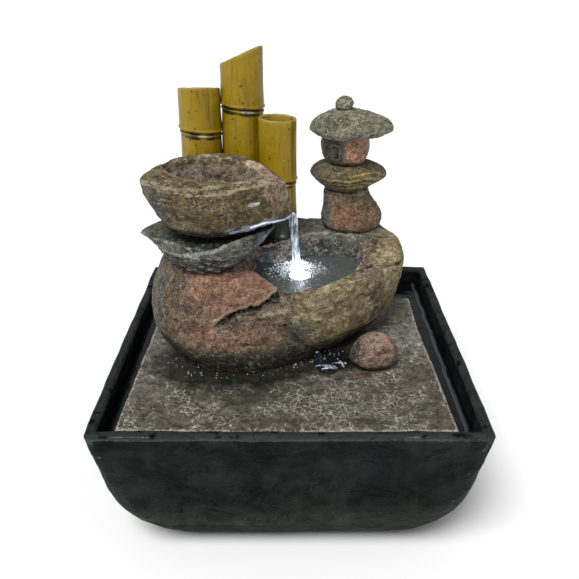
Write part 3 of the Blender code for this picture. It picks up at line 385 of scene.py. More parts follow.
def rubber_paint(name):
    """Dull black rubber with dust on it."""
    paint = Paint(name)
    dust = paint.noise(0.003, 5.0, 0.7)
    paint.colour = paint.mix(paint.span(dust, 0.5, 0.8), (0.018, 0.018, 0.018), (0.06, 0.058, 0.054))
    paint.bump(paint.noise(0.0005, 3.0), 0.00012)
    return paint.finish(paint.span(dust, 0.3, 0.7, 0.7, 0.9))


def metal_paint(name, colour, roughness, stretch):
    """Bare metal with fine drawn lines and a little tarnish."""
    paint = Paint(name, metallic=1.0)
    lines = paint.noise(0.0004, 3.0, 0.6, stretch=stretch)
    tarnish = paint.span(paint.noise(0.004, 4.0), 0.4, 0.7, 0.0, 0.5)
    paint.colour = paint.mix(tarnish, colour, shade(colour, 0.45))
    paint.bump(lines, 0.0001)
    return paint.finish(paint.span(lines, 0.3, 0.7, roughness - 0.08, roughness + 0.12))


def board_paint():
    """Green circuit board with pale traces."""
    paint = Paint("circuit_board")
    traces = paint.cell_edges(0.0022, 0.0, 0.1, 0.05)
    paint.colour = paint.mix(traces, (0.02, 0.13, 0.05), (0.12, 0.3, 0.14))
    paint.bump(traces, 0.00005)
    return paint.finish(paint.span(traces, 0.0, 1.0, 0.45, 0.3))


def hose_paint():
    """Cloudy clear vinyl hose."""
    paint = Paint("hose_vinyl", alpha=0.85)
    cloud = paint.noise(0.004, 4.0)
    paint.colour = paint.mix(cloud, (0.42, 0.47, 0.45), (0.62, 0.66, 0.63))
    paint.bump(cloud, 0.0001)
    return paint.finish(paint.span(cloud, 0.3, 0.7, 0.18, 0.32))


def lens_paint():
    """Lit lens of the light."""
    paint = Paint("light_lens", emission_strength=24.0)
    facets = paint.cells(0.0011)
    paint.colour = paint.mix(paint.span(facets, 0.1, 0.6), (0.96, 0.98, 1.0), (0.72, 0.84, 1.0))
    paint.drive("Emission Color", paint.colour)
    paint.bump(facets, 0.0002)
    return paint.finish(paint.span(facets, 0.1, 0.6, 0.1, 0.25))


def basin_water_paint():
    """Black still water with one long grey reflection beside the slab's right edge."""
    paint = Paint("dark_water", alpha=0.85, specular_ior_level=0.2)
    ripple = paint.noise(0.01, 3.0, 0.5)
    across = paint.node("ShaderNodeSeparateXYZ", {0: paint.place}).outputs[0]
    wander = paint.ragged(across, ripple, 0.0035)
    middle = (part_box("base_slab")[1].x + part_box("basin")[1].x) / 2.0 - 0.0022
    half_width, half_core = 0.0014, 0.0008
    inner = paint.span(wander, middle - half_width, middle - half_core)
    outer = paint.span(wander, middle + half_width, middle + half_core)
    strip = paint.times(paint.times(inner, outer), 0.8)
    paint.colour = paint.mix(strip, (0.004, 0.006, 0.007), (0.06, 0.066, 0.068))
    paint.bump(ripple, 0.0006)
    return paint.finish(paint.span(ripple, 0.3, 0.7, 0.05, 0.16))


def glass_paint():
    """Dark running water with small white glints."""
    paint = Paint("drip_water", alpha=0.8, ior=1.33, emission_strength=0.35)
    shape = paint.noise(0.0032, 3.0, 0.5, stretch=(1.8, 1.0, 1.0), twist=0.8)
    glint = paint.span(shape, 0.58, 0.64)
    paint.colour = paint.mix(glint, (0.01, 0.011, 0.014), (0.7, 0.74, 0.86))
    paint.drive("Emission Color", paint.mix(glint, (0.0, 0.0, 0.0), (0.6, 0.66, 0.8)))
    paint.bump(shape, 0.0008)
    return paint.finish(paint.span(shape, 0.3, 0.7, 0.04, 0.1))


def water_paint(name, colour, alpha, glow=0.0, streaks=0.0, soft=False):
    """Moving clear water. Streaks clear it between bright strands, soft fades it at its edges."""
    paint = Paint(name, alpha=alpha, ior=1.33, emission_strength=glow)
    ripple = paint.noise(0.0022, 3.0, 0.5, twist=0.5)
    paint.colour = paint.mix(paint.span(ripple, 0.35, 0.65), colour, shade(colour, 1.25))
    if streaks:
        bands = paint.noise(0.0012, 4.0, 0.6, stretch=(1.0, 1.0, 7.0), twist=0.4)
        strand = paint.span(bands, 0.42, 0.62)
        paint.colour = paint.mix(strand, shade(colour, 0.35), paint.colour)
        paint.drive("Alpha", paint.span(strand, 0.0, 1.0, alpha - streaks, alpha))
    if soft:
        facing = paint.node("ShaderNodeLayerWeight", {"Blend": 0.5}).outputs["Facing"]
        patchy = paint.span(ripple, 0.35, 0.6, 0.4, 1.0)
        paint.drive("Alpha", paint.times(paint.span(facing, 0.15, 0.9, alpha, 0.0), patchy))
    # Glow is painted light: the water gives off light of its own, standing for the lamp's light caught
    # in it.
    if glow:
        paint.drive("Emission Color", paint.colour)
    paint.bump(ripple, 0.0007)
    return paint.finish(paint.span(ripple, 0.3, 0.7, 0.1, 0.22))


# ---------------------------------------------------------------- meshes


def new_piece(name, mesh, material, body):
    """Piece from mesh data in the frame's own coordinates, riding on a body."""
    piece = bpy.data.objects.new(name, mesh)
    bpy.context.scene.collection.objects.link(piece)
    mesh.materials.clear()
    mesh.materials.append(material)
    mesh.shade_smooth()
    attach(piece, body)
    return piece


def clipped(values):
    """Values kept between 0 and 1."""
    return np.clip(values, 0.0, 1.0)


def vectors(mesh, items, key):
    """One vector per vertex, as rows of numbers."""
    flat = np.empty(len(mesh.vertices) * 3, np.float32)
    items.foreach_get(key, flat)
    return flat.reshape(-1, 3).astype(float)


def points_of(mesh):
    return vectors(mesh, mesh.vertices, "co")


def normals_of(mesh):
    return vectors(mesh, mesh.vertex_normals, "vector")


def finished(bm, name):
    """Mesh made from a work mesh, which is then cleared away."""
    mesh = bpy.data.meshes.new(name)
    bm.to_mesh(mesh)
    bm.free()
    return mesh


def skin_of(node):
    """A CAD node's surface, ready to be searched."""
    bm = bmesh.new()
    bm.from_mesh(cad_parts[node].data)
    tree = BVHTree.FromBMesh(bm)
    bm.free()
    return tree


def set_points(mesh, points):
    mesh.vertices.foreach_set("co", points.astype(np.float32).ravel())
    mesh.update()


def store(mesh, marks):
    """Keep named sets of numbers on the mesh, one number per vertex, for its paint."""
    for name, values in marks.items():
        attribute = mesh.attributes.new(name, "FLOAT", "POINT")
        attribute.data.foreach_set("value", np.asarray(values, np.float32))


def remeshed(node, voxel):
    """Even, closed mesh over a CAD node's solid."""
    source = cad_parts[node].data.copy()
    holder = bpy.data.objects.new("remesh_holder", source)
    bpy.context.scene.collection.objects.link(holder)
    modifier = holder.modifiers.new("remesh", "REMESH")
    modifier.mode = "VOXEL"
    modifier.voxel_size = voxel
    graph = bpy.context.evaluated_depsgraph_get()
    mesh = bpy.data.meshes.new_from_object(holder.evaluated_get(graph))
    bpy.data.objects.remove(holder, do_unlink=True)
    return mesh


def fractal(points, size, octaves, seed):
    """Smooth noise of about -1 to 1, with features of the given size in metres."""
    shift = np.array((seed * 17.31, seed * -9.17, seed * 5.73))
    return np.array([noise.fractal(place, 1.0, 2.1, octaves) for place in points / size + shift])


def ridged(points, size, octaves, seed):
    """Noise of about -1 to 1 with sharp crests."""
    shift = np.array((seed * -6.13, seed * 11.7, seed * 8.31))
    places = points / size + shift
    crests = [noise.ridged_multi_fractal(place, 1.0, 2.1, octaves, 1.0, 2.0) for place in places]
    return np.array(crests) - 1.1


def ledges(points, spacing, tilt, seed):
    """Layered rock from 0 to 1: each layer swells outwards and then drops back sharply."""
    height = points @ np.array(tilt) + 0.9 * spacing * fractal(points, 0.018, 3, seed)
    share = np.mod(height / spacing, 1.0)
    return np.where(share < 0.78, share / 0.78, (1.0 - share) / 0.22)


def strokes_along(points, start, end, size, seed):
    """Thin strokes of the given size across, drawn out from start towards end."""
    along = np.array((end - start).normalized())
    drawn_out = points - 0.72 * (points @ along)[:, None] * along
    return 1.5 - 6.5 * np.abs(fractal(drawn_out, size, 4, seed))


def spot(points, centre, radii):
    """1 in the middle of a soft ellipsoid, falling to 0 at its edge."""
    reach = np.sqrt((((points - np.array(centre)) / np.array(radii)) ** 2).sum(1))
    return clipped(1.5 - 1.5 * reach)


def patch(points, node, x, y, z, *radii):
    """Soft spot at shares of a node's box, with its radii in millimetres."""
    return spot(points, share_of(node, x, y, z), [radius * MM for radius in radii])


def below(points, node, share, depth):
    """0 above a level of a node's box, growing to 1 at a depth under it."""
    return clipped((share_of(node, 0.0, 0.0, share).z - points[:, 2]) / depth)


def oval(points, node, centre, radii):
    """1 inside an upright oval tube at shares of a node's box, with radii in millimetres."""
    away = points[:, :2] - np.array(share_of(node, *centre, 0.0))[:2]
    return clipped(9.0 - 9.0 * np.linalg.norm(away / (np.array(radii) * MM), axis=1))


def ways_from(points, line):
    """For each stretch of a line: the way from its nearest place to every point, and its direction."""
    for start, end in zip(line, line[1:]):
        start, along = np.array(start), np.array(end) - np.array(start)
        share = clipped(((points - start) @ along) / (along @ along))
        yield points - start - share[:, None] * along, along


def nearness(points, line, width):
    """1 on a line of points, falling to 0 at the given distance from it."""
    gaps = [np.linalg.norm(away, axis=1) for away, _ in ways_from(points, line)]
    return clipped(1.0 - np.minimum.reduce(gaps) / width)


def below_step(points, line, width):
    """1 just to the left of a line, walked from its start and seen from in front, fading outwards."""
    best = np.full(len(points), np.inf)
    side = np.zeros(len(points))
    facing = np.array((0.0, -0.6, 0.8))
    for away, along in ways_from(points, line):
        gap = np.linalg.norm(away, axis=1)
        side = np.where(gap < best, np.cross(away, along) @ facing, side)
        best = np.minimum(gap, best)
    return clipped(1.0 - best / width) * (side < 0.0)


def smoothed(mesh, values, rounds):
    """Values averaged with their neighbours along the mesh's edges."""
    ends = np.empty(len(mesh.edges) * 2, np.int64)
    mesh.edges.foreach_get("vertices", ends)
    first, second = ends.reshape(-1, 2).T
    count = len(mesh.vertices)
    neighbours = np.bincount(ends, minlength=count)[:, None]
    for _ in range(rounds):
        total = np.stack(
            [
                np.bincount(first, column[second], count) + np.bincount(second, column[first], count)
                for column in values.T
            ],
            axis=1,
        )
        values = 0.5 * values + 0.5 * total / neighbours
    return values


def store_relief(mesh, fine=6, broad=40):
    """Keep how far each point stands out of (above 0) or back from (below 0) the surface around it.

    The edge value looks close by and finds thin crests. The hollow value looks further, over dips.
    """
    points, normals = points_of(mesh), normals_of(mesh)
    near = smoothed(mesh, points, fine)
    far = smoothed(mesh, near, broad)
    for name, start, end in (("edge", points, near), ("hollow", points, far)):
        height = ((start - end) * normals).sum(1)
        store(mesh, {name: np.clip(height / height.std(), -4.0, 4.0)})


def carved(node, name, material, carve, masks=None, reshape=None, voxel=0.0009):
    """Finely meshed copy of a CAD stone, carved along its normals, that stands for the CAD node.

    Reshape moves the points first, carve gives the depth at each point, and masks gives the zones
    that the paint looks up, from the carved points and their normals.
    """
    mesh = remeshed(node, voxel)
    if reshape:
        set_points(mesh, reshape(points_of(mesh)))
    points = points_of(mesh)
    set_points(mesh, points + normals_of(mesh) * carve(points)[:, None])
    store_relief(mesh)
    if masks:
        store(mesh, masks(points_of(mesh), normals_of(mesh)))
    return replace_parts(new_piece(name, mesh, material, "sculpture"), node)


# ---------------------------------------------------------------- basin


def make_basin():
    """Hand-cut look for the basin: wavy walls, cleft faces and chips along the rim."""
    mesh = remeshed("basin", voxel=0.0015)
    points = points_of(mesh)
    low, high = (np.array(corner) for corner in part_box("basin"))
    level = (points[:, 2] - low[2]) / (high[2] - low[2])
    spread = np.abs(points[:, :2]).max(1)
    outside = spread > 0.93 * spread[level > 0.95].max()
    cleft = ridged(points * np.array((0.55, 0.55, 1.0)), 0.016, 4, 3)
    move = 0.0005 * fractal(points, 0.04, 3, 1) + 0.00028 * cleft * outside
    set_points(mesh, points + normals_of(mesh) * move[:, None])
    wave = 0.0006 * fractal(points * np.array((1.0, 1.0, 0.0)), 0.03, 2, 8)
    points = points_of(mesh)
    points[:, 2] += wave * clipped((level - 0.9) / 0.1)
    set_points(mesh, points)
    store_relief(mesh, fine=2, broad=14)
    masks = {
        # Lower outside, where the paint adds the floor's painted reflection.
        "low_part": clipped((0.45 - level) / 0.35) * outside,
        "rim": clipped((level - 0.97) / 0.012),
        "reach": (np.abs(points[:, :2]).max(1) - high[0]) / MM,
        "rise": (points[:, 2] - high[2]) / MM,
        "chips": clipped((fractal(points, 0.006, 3, 12) - 0.42) * 8.0) * (level > 0.975),
    }
    store(mesh, masks)
    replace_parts(new_piece("basin_shell", mesh, basin_paint(), "basin"), "basin")


def make_basin_water():
    """Still dark water in the basin, a little below the slab's top."""
    half_width = middle_of("basin").x + 0.0978
    level = SLAB_TOP - 0.0068
    depth = 0.0012
    squares = 60
    ripple, ripple_size = 0.00012, 0.012
    bm = bmesh.new()
    bmesh.ops.create_grid(bm, x_segments=squares, y_segments=squares, size=half_width)
    bmesh.ops.translate(bm, verts=bm.verts, vec=(0.0, 0.0, level))
    top = list(bm.verts)
    extruded = bmesh.ops.extrude_face_region(bm, geom=list(bm.faces))
    lower = [item for item in extruded["geom"] if isinstance(item, bmesh.types.BMVert)]
    bmesh.ops.translate(bm, verts=lower, vec=(0.0, 0.0, -depth))
    for vertex in top:
        vertex.co.z += ripple * wobble(vertex.co / ripple_size, 2)
    bmesh.ops.recalc_face_normals(bm, faces=bm.faces)
    new_piece("basin_water", finished(bm, "basin_water"), basin_water_paint(), "basin")


# ---------------------------------------------------------------- stones


# Lines and places on the stones, as shares of the CAD box that they lie on.
SHORE = (
    (0.12, 0.12),
    (0.22, 0.01),
    (0.36, -0.01),
    (0.5, 0.04),
    (0.6, 0.12),
    (0.72, 0.22),
    (0.8, 0.38),
)


def make_slab():
    """Slab with a crinkled top, wet around the foot of the boulder."""
    node = "base_slab"

    def carve(points):
        top = clipped((points[:, 2] - SLAB_TOP + 0.004) / 0.004)
        crinkle = ridged(points, 0.011, 4, 5)
        return (0.0004 * fractal(points, 0.03, 3, 2) + 0.00042 * crinkle) * (0.25 + 0.75 * top)

    def masks(points, normals):
        at = partial(patch, points, node)
        foot = [share_of("lower_rock", x, y, 0.0) for x, y in SHORE]
        shore = nearness(points, foot, 0.021) + 0.35 * fractal(points, 0.008, 3, 4)
        behind = clipped((points[:, 1] - middle_of("front_pebble").y) / 0.02) * (points[:, 0] > 0.0)
        return {
            "wet": clipped(1.8 * shore) * (nearness(points, foot, 0.03) > 0.0),
            # Painted shadow in the gap between the boulder's tip and the round stone.
            "black": patch(points, "front_pebble", -0.18, 0.6, 0.0, 17, 15, 10),
            "worn": at(0.68, 0.16, 1.0, 50, 30, 20),
            "green": at(0.36, 0.28, 1.0, 45, 22, 20),
            "grey": behind + at(0.05, 0.5, 1.0, 30, 60, 20),
        }

    carved(node, "slab_surface", slab_paint(), carve, masks, voxel=0.0011)
POOL_MIDDLE = (0.605, 0.457)
TONGUE_EDGE = (
    (0.5, 0.17, 0.79),
    (0.476, 0.12, 0.735),
    (0.451, 0.1, 0.69),
    (0.4, 0.082, 0.655),
    (0.36, 0.068, 0.65),
    (0.318, 0.05, 0.585),
)
SHOULDER_CRACK = (
    (0.83, 0.385, 0.825),
    (0.87, 0.42, 0.826),
    (0.905, 0.432, 0.805),
    (0.935, 0.46, 0.795),
    (0.98, 0.54, 0.75),
)
RIDGE = (
    (0.275, 0.045, 0.545),
    (0.46, 0.09, 0.565),
    (0.55, 0.095, 0.61),
    (0.64, 0.118, 0.655),
    (0.73, 0.19, 0.65),
    (0.8, 0.26, 0.66),
    (0.91, 0.4, 0.62),
)
FRONT_CRACK = ((0.525, 0.072, 0.47), (0.56, 0.064, 0.355), (0.6, 0.08, 0.22), (0.645, 0.145, 0.074))


def make_lower_rock():
    """Large boulder: a broad tongue of stone over a channel on its left, a ridge on its right."""
    node = "lower_rock"
    tongue, shoulder, ridge, front = (
        line_on(node, shares) for shares in (TONGUE_EDGE, SHOULDER_CRACK, RIDGE, FRONT_CRACK)
    )

    def jagged(points):
        """Points shifted a little, so that the tongue's edge breaks instead of running smooth."""
        return points + 0.0016 * fractal(points, 0.0055, 3, 17)[:, None]

    def carve(points):
        move = 0.0008 * fractal(points, 0.02, 3, 11)
        move += 0.00045 * ridged(points * np.array((0.7, 0.7, 1.0)), 0.01, 4, 12)
        move += 0.00025 * fractal(points, 0.0032, 3, 13)
        move += 0.0007 * nearness(points, ridge, 0.003)
        move -= 0.0046 * below_step(jagged(points), tongue, 0.014) ** 1.3
        move -= 0.0009 * nearness(jagged(points), tongue, 0.0012)
        move -= 0.0016 * nearness(points, shoulder, 0.0018)
        move -= 0.001 * nearness(points, front, 0.0012)
        return move

    def masks(points, normals):
        at = partial(patch, points, node)
        height = points[:, 2] - SLAB_TOP
        bent = jagged(points)
        away = points[:, :2] - np.array(share_of(node, *POOL_MIDDLE, 0.0))[:2]
        inward = clipped(1.0 - 4.0 * (away * normals[:, :2]).sum(1) / np.linalg.norm(away, axis=1))
        rim_level = POOL_LEVEL + 0.0012 + 0.155 * (points[:, 1] + 0.02)
        deep = clipped((rim_level - points[:, 2]) / 0.0012)
        right_face = clipped(2.4 * at(0.8, 0.25, 0.62, 56, 46, 36))
        unworn = fractal(points, 0.012, 3, 20) > -0.15
        above_step = below_step(bent, tongue, 1.0) == 0.0
        tongue_lip = nearness(bent, tongue, 0.0036) * (0.8 + 0.9 * fractal(points, 0.004, 3, 18))
        wet_foot = clipped((0.013 - height) / 0.01 + 0.4 * fractal(points, 0.01, 3, 15))
        return {
            "wet": np.maximum(0.9 * wet_foot, 0.8 * nearness(points, front, 0.006)),
            "red": np.maximum(at(0.33, 0.16, 0.8, 40, 26, 22), 0.62 * at(0.3, 0.02, 0.42, 46, 26, 18)),
            "brown": np.maximum(at(0.62, 0.1, 0.9, 26, 16, 12), 1.3 * below_step(bent, tongue, 0.016)),
            "olive": np.maximum(at(0.72, 0.15, 0.5, 44, 40, 34), at(0.98, 0.55, 0.65, 32, 55, 40)),
            "sand": at(0.92, 0.48, 0.86, 16, 22, 7),
            "grey": np.maximum(at(0.02, 0.4, 0.5, 16, 50, 50), 1.6 * at(0.66, 0.82, 1.0, 60, 36, 22)),
            "moss": at(0.58, 0.05, 0.38, 13, 14, 11),
            "shade": clipped((0.02 - height) / 0.016),
            # Painted shadow of the upper bowl on the boulder's back, behind the wedge stone's right end.
            "gloom": at(0.46, 0.6, 0.95, 15, 16, 10),
            "crest": 0.7 * nearness(points, ridge, 0.0026),
            "strokes": strokes_along(points, ridge[1], ridge[-1], 0.0075, 19) * right_face * unworn,
            "lip": tongue_lip * above_step,
            "pool": oval(points, node, POOL_MIDDLE, (40.5, 34.0)) * inward * deep,
        }

    zones = (
        ("grey", (0.15, 0.15, 0.128)),
        ("olive", (0.31, 0.245, 0.115)),
        ("red", (0.375, 0.195, 0.126)),
        ("sand", (0.42, 0.34, 0.19)),
        ("brown", (0.165, 0.125, 0.086)),
        ("crest", (0.42, 0.35, 0.24)),
        ("strokes", (0.52, 0.435, 0.255)),
        ("lip", (0.48, 0.26, 0.17)),
        ("moss", (0.15, 0.15, 0.105)),
        ("shade", (0.042, 0.045, 0.029)),
        # Near-black painted shadow under the upper bowl.
        ("gloom", (0.012, 0.012, 0.01)),
        ("pool", (0.062, 0.074, 0.072)),
    )
    colours = ((0.195, 0.13, 0.09), (0.165, 0.122, 0.082), (0.075, 0.056, 0.04), (0.52, 0.42, 0.3))
    paint = stone_paint("boulder_stone", colours, zones, brushing=1.15)
    carved(node, "lower_boulder", paint, carve, masks, voxel=0.00095)
MIDDLE_RIM = (
    (0.015, 0.55, 0.71),
    (0.209, 0.263, 0.448),
    (0.328, 0.119, 0.486),
    (0.432, 0.039, 0.624),
    (0.563, 0.025, 0.762),
    (0.687, 0.092, 0.867),
    (0.797, 0.21, 0.934),
    (0.913, 0.371, 0.95),
)


def make_middle_rock():
    """Dark wedge stone with black layers along its lower face."""
    node = "middle_rock"

    def carve(points):
        face = below(points, node, 0.75, 0.004)
        layers = ledges(points, 0.004, (0.1, 0.0, 1.0), 21) - 0.5
        move = 0.0006 * fractal(points, 0.018, 3, 22) + 0.00045 * ridged(points, 0.008, 4, 23)
        return move + 0.001 * layers * face + 0.00025 * fractal(points, 0.003, 3, 24)

    def masks(points, normals):
        dish = clipped(4.0 * (normals[:, 2] - 0.45))
        return {
            "wet": np.maximum(0.45 * below(points, node, 0.55, 0.004), 0.3 * dish),
            "moss": 1.3 * dish * patch(points, node, 0.58, 0.42, 0.8, 40, 28, 22),
            "dark": below(points, node, 0.58, 0.004),
            "crest": nearness(points, line_on(node, MIDDLE_RIM), 0.0024),
            "gleam": patch(points, node, 0.97, 0.38, 0.75, 15, 18, 8),
        }

    zones = (
        ("moss", (0.034, 0.044, 0.026)),
        ("dark", (0.085, 0.082, 0.066)),
        ("crest", (0.4, 0.41, 0.35)),
        ("gleam", (0.33, 0.37, 0.45)),
    )
    colours = ((0.165, 0.165, 0.132), (0.13, 0.134, 0.1), (0.03, 0.034, 0.024), (0.56, 0.58, 0.52))
    paint = stone_paint("wedge_stone", colours, zones, brushing=0.9)
    carved(node, "wedge_stone", paint, carve, masks)
BOWL_LIP = (
    (0.026, 0.35, 0.85),
    (0.21, 0.116, 0.867),
    (0.4, 0.073, 0.862),
    (0.555, 0.116, 0.894),
    (0.709, 0.164, 0.93),
    (0.864, 0.249, 0.869),
)
BOWL_END = (
    (0.715, 0.8, 0.887),
    (0.813, 0.784, 0.832),
    (0.9, 0.7, 0.79),
    (0.945, 0.609, 0.704),
    (0.971, 0.488, 0.515),
    (0.992, 0.558, 0.294),
)
DISH_EDGE = (
    (0.12, 0.729, 0.91),
    (0.206, 0.477, 0.892),
    (0.299, 0.324, 0.897),
    (0.392, 0.275, 0.892),
    (0.5, 0.277, 0.884),
    (0.598, 0.239, 0.889),
)
WET_UNDERSIDE = (
    (0.6, 0.13, 0.2),
    (0.73, 0.18, 0.25),
    (0.83, 0.22, 0.29),
    (0.91, 0.35, 0.26),
    (1.00, 0.55, 0.2),
)
FRONT_GLINT = ((0.735, 0.1, 0.63), (0.79, 0.14, 0.628))


def make_upper_bowl():
    """Boulder with a dished top, a pale lip and flowing layers across its front."""
    node = "upper_bowl"
    lip, end, dish_edge, wet_line, glint = (
        line_on(node, shares) for shares in (BOWL_LIP, BOWL_END, DISH_EDGE, WET_UNDERSIDE, FRONT_GLINT)
    )

    def carve(points):
        layers = ledges(points, 0.0075, (-0.08, 0.0, 1.0), 31) - 0.5
        move = 0.0006 * fractal(points, 0.02, 3, 32)
        move += 0.00042 * ridged(points * np.array((0.6, 0.6, 1.0)), 0.009, 4, 33)
        move -= 0.0022 * below_step(points, dish_edge, 0.01) ** 1.3
        move -= 0.001 * nearness(points, dish_edge, 0.0014)
        return move + 0.00035 * layers + 0.00025 * fractal(points, 0.003, 3, 34)

    def masks(points, normals):
        at = partial(patch, points, node)
        underside = below(points, node, 0.3, 0.006)
        gleam = nearness(points, wet_line, 0.005)
        right_end = clipped(2.2 * at(0.93, 0.45, 0.78, 15, 32, 20))
        worn_end = 1.8 * nearness(points, end, 0.0048) * (0.75 + 0.8 * fractal(points, 0.0035, 3, 36))
        return {
            "wet": np.maximum(0.5 * underside, np.maximum(at(0.98, 0.62, 0.25, 12, 14, 12), gleam)),
            "red": np.maximum(at(0.88, 0.45, 0.95, 28, 36, 18), 0.8 * at(0.94, 0.3, 0.6, 14, 22, 14)),
            "grey": at(0.06, 0.2, 0.5, 24, 34, 26),
            "floor": below(points, node, 0.89, 0.0015) * oval(points, node, (0.52, 0.6), (35, 21)),
            # Painted shade over the bowl's underside.
            "under": underside,
            "gleam": gleam * (0.7 + 0.6 * fractal(points, 0.004, 3, 35)),
            "crest": 1.3 * nearness(points, lip, 0.0024),
            # Painted shadow under the lip, along the dish's carved edge.
            "crevice": 1.3 * nearness(points, dish_edge, 0.0016),
            # Painted highlight on the back of the dish's rim.
            "frost": at(0.42, 0.92, 0.92, 15, 8, 5),
            "fibres": strokes_along(points, end[1], end[-1], 0.006, 37) * right_end,
            "rose_crest": worn_end,
            "glint": 1.4 * nearness(points, glint, 0.0016),
        }

    zones = (
        ("red", (0.35, 0.225, 0.15)),
        ("grey", (0.14, 0.13, 0.092)),
        ("floor", (0.34, 0.265, 0.195)),
        ("crest", (0.43, 0.37, 0.24)),
        ("rose_crest", (0.72, 0.53, 0.41)),
        # Pale grey painted highlight on the back rim.
        ("frost", (0.42, 0.42, 0.39)),
        ("fibres", (0.56, 0.4, 0.3)),
        # Dark painted shadow under the dish's lip.
        ("crevice", (0.03, 0.02, 0.012)),
        ("glint", (0.85, 0.87, 0.95)),
        # Near-black painted shade on the underside.
        ("under", (0.05, 0.052, 0.042)),
        ("gleam", (0.85, 0.9, 1.000)),
    )
    colours = ((0.215, 0.156, 0.068), (0.18, 0.142, 0.072), (0.065, 0.052, 0.028), (0.6, 0.52, 0.34))
    paint = stone_paint("bowl_stone", colours, zones, brushing=1.0)
    carved(node, "bowl_boulder", paint, carve, masks)


def make_lantern():
    """The five stones of the lantern, each with its own colour and roughness."""
    joint = share_of("lantern_base_stone", 0.6, 0.16, 0.98)

    def rough(lump, pits, seed):
        """Carving with lumps and pits, and a small nub of glue at the joint over the base stone."""

        def carve(points):
            move = lump * fractal(points, 0.014, 3, seed) + pits * ridged(points, 0.0042, 3, seed + 1)
            move += 0.0016 * (spot(points, joint, (0.003, 0.004, 0.002)) > 0.2)
            return move + 0.5 * pits * fractal(points, 0.0022, 2, seed + 2)

        return carve

    def base_masks(points, normals):
        at = partial(patch, points, "lantern_base_stone")
        return {
            "red": at(0.42, 0.0, 0.45, 15, 16, 11),
            "grey": np.maximum(at(0.0, 0.3, 0.5, 8, 22, 22), at(0.3, 0.1, 0.0, 18, 14, 6)),
            "wet": 0.5 * below(points, "lantern_base_stone", 0.1, 0.003),
        }

    def chamber_masks(points, normals):
        at = partial(patch, points, "lantern_chamber")
        return {"grey": np.maximum(at(0.22, 0.1, 0.5, 12, 14, 17), at(0.5, 0.1, 0.0, 18, 16, 4))}

    def disc_masks(points, normals):
        at = partial(patch, points, "lantern_disc")
        layers = ledges(points, 0.0034, (0.06, 0.0, 1.0), 46)
        return {
            "yellow": 1.4 * at(0.66, 0.05, 0.5, 30, 16, 8) * (layers > 0.55),
            "dark": at(0.5, 0.1, 0.4, 40, 30, 9) * (layers < 0.22),
            "wet": 0.3 * below(points, "lantern_disc", 0.25, 0.003),
        }

    def roof_masks(points, normals):
        return {"glow": patch(points, "lantern_roof", 0.2, 0.1, 0.0, 18, 20, 3.5)}

    def low_knob(points):
        """The knob pressed lower, and leaning a little to the right."""
        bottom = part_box("lantern_finial")[0].z
        points[:, 2] = bottom + (points[:, 2] - bottom) * 0.86
        points[:, 0] += 0.1 * (points[:, 2] - bottom)
        return points

    def tilted_roof(points):
        """The roof's brim raised a little on its right."""
        low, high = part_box("lantern_roof")
        share = (points[:, 0] - low.x) / (high.x - low.x)
        points[:, 2] += 0.0016 * (share - 0.45) * clipped((points[:, 2] - low.z) / 0.004)
        return points

    red = ((0.265, 0.17, 0.102), (0.225, 0.155, 0.098), (0.06, 0.04, 0.024), (0.44, 0.4, 0.3))
    rose = ((0.68, 0.4, 0.27), (0.56, 0.33, 0.22), (0.06, 0.04, 0.03), (0.46, 0.38, 0.3))
    olive = ((0.175, 0.14, 0.07), (0.145, 0.122, 0.068), (0.045, 0.042, 0.026), (0.46, 0.43, 0.3))
    grey = ((0.32, 0.288, 0.195), (0.255, 0.235, 0.162), (0.045, 0.044, 0.032), (0.66, 0.62, 0.48))
    base_zones = (("red", (0.33, 0.165, 0.085)), ("grey", (0.125, 0.125, 0.105)))
    disc_zones = (("yellow", (0.42, 0.31, 0.095)), ("dark", (0.05, 0.045, 0.028)))
    base_paint = stone_paint("lantern_red", red, base_zones)
    chamber_paint = stone_paint("lantern_rose", rose, (("grey", (0.12, 0.12, 0.104)),))
    disc_paint = stone_paint("lantern_olive", olive, disc_zones)
    roof_zones = (("glow", (0.4, 0.42, 0.46)),)
    roof_paint = stone_paint("lantern_speckled", grey, roof_zones, brushing=0.95)
    knob_paint = stone_paint("lantern_knob", grey, brushing=0.8)
    for part, seed, lump, pits, paint, slot, masks, reshape in (
        ("base_stone", 41, 0.0006, 0.0003, base_paint, "red_rock_resin", base_masks, None),
        ("disc", 44, 0.0007, 0.0003, disc_paint, "grey_rock_resin", disc_masks, None),
        ("chamber", 47, 0.0005, 0.00026, chamber_paint, "red_rock_resin", chamber_masks, None),
        ("roof", 50, 0.0007, 0.00045, roof_paint, "grey_rock_resin", roof_masks, tilted_roof),
        ("finial", 53, 0.0004, 0.0004, knob_paint, "grey_rock_resin", None, low_knob),
    ):
        node, name = f"lantern_{part}", f"lantern_rough_{part}"
        carved(node, name, paint, rough(lump, pits, seed), masks, reshape, voxel=0.0007)


def make_window_back():
    """Grey back of the chamber's shallow window, with rounded corners."""
    middle = share_of("lantern_chamber", 0.26, 0.165, 0.51)
    half_width, half_height = 0.0028, 0.0045
    rows = []
    for inset, depth in ((1.0, 0.0018), (1.0, 0.0012), (0.85, 0.0009), (0.55, 0.0008), (0.2, 0.0008)):
        row = []
        for turn in turns(48):
            across, upright = math.cos(turn), math.sin(turn)
            reach = inset / (across**4 + upright**4) ** 0.25
            place = middle + Vector((half_width * across * reach, depth, half_height * upright * reach))
            place.y += 0.0002 * noise.noise(place / 0.0015)
            row.append(place)
        rows.append(row)
    colours = ((0.3, 0.295, 0.265), (0.25, 0.25, 0.225), (0.05, 0.05, 0.04), (0.5, 0.5, 0.44))
    paint = stone_paint("window_grey", colours)
    new_piece("window_back", solid_mesh("window_back", rows), paint, "sculpture")


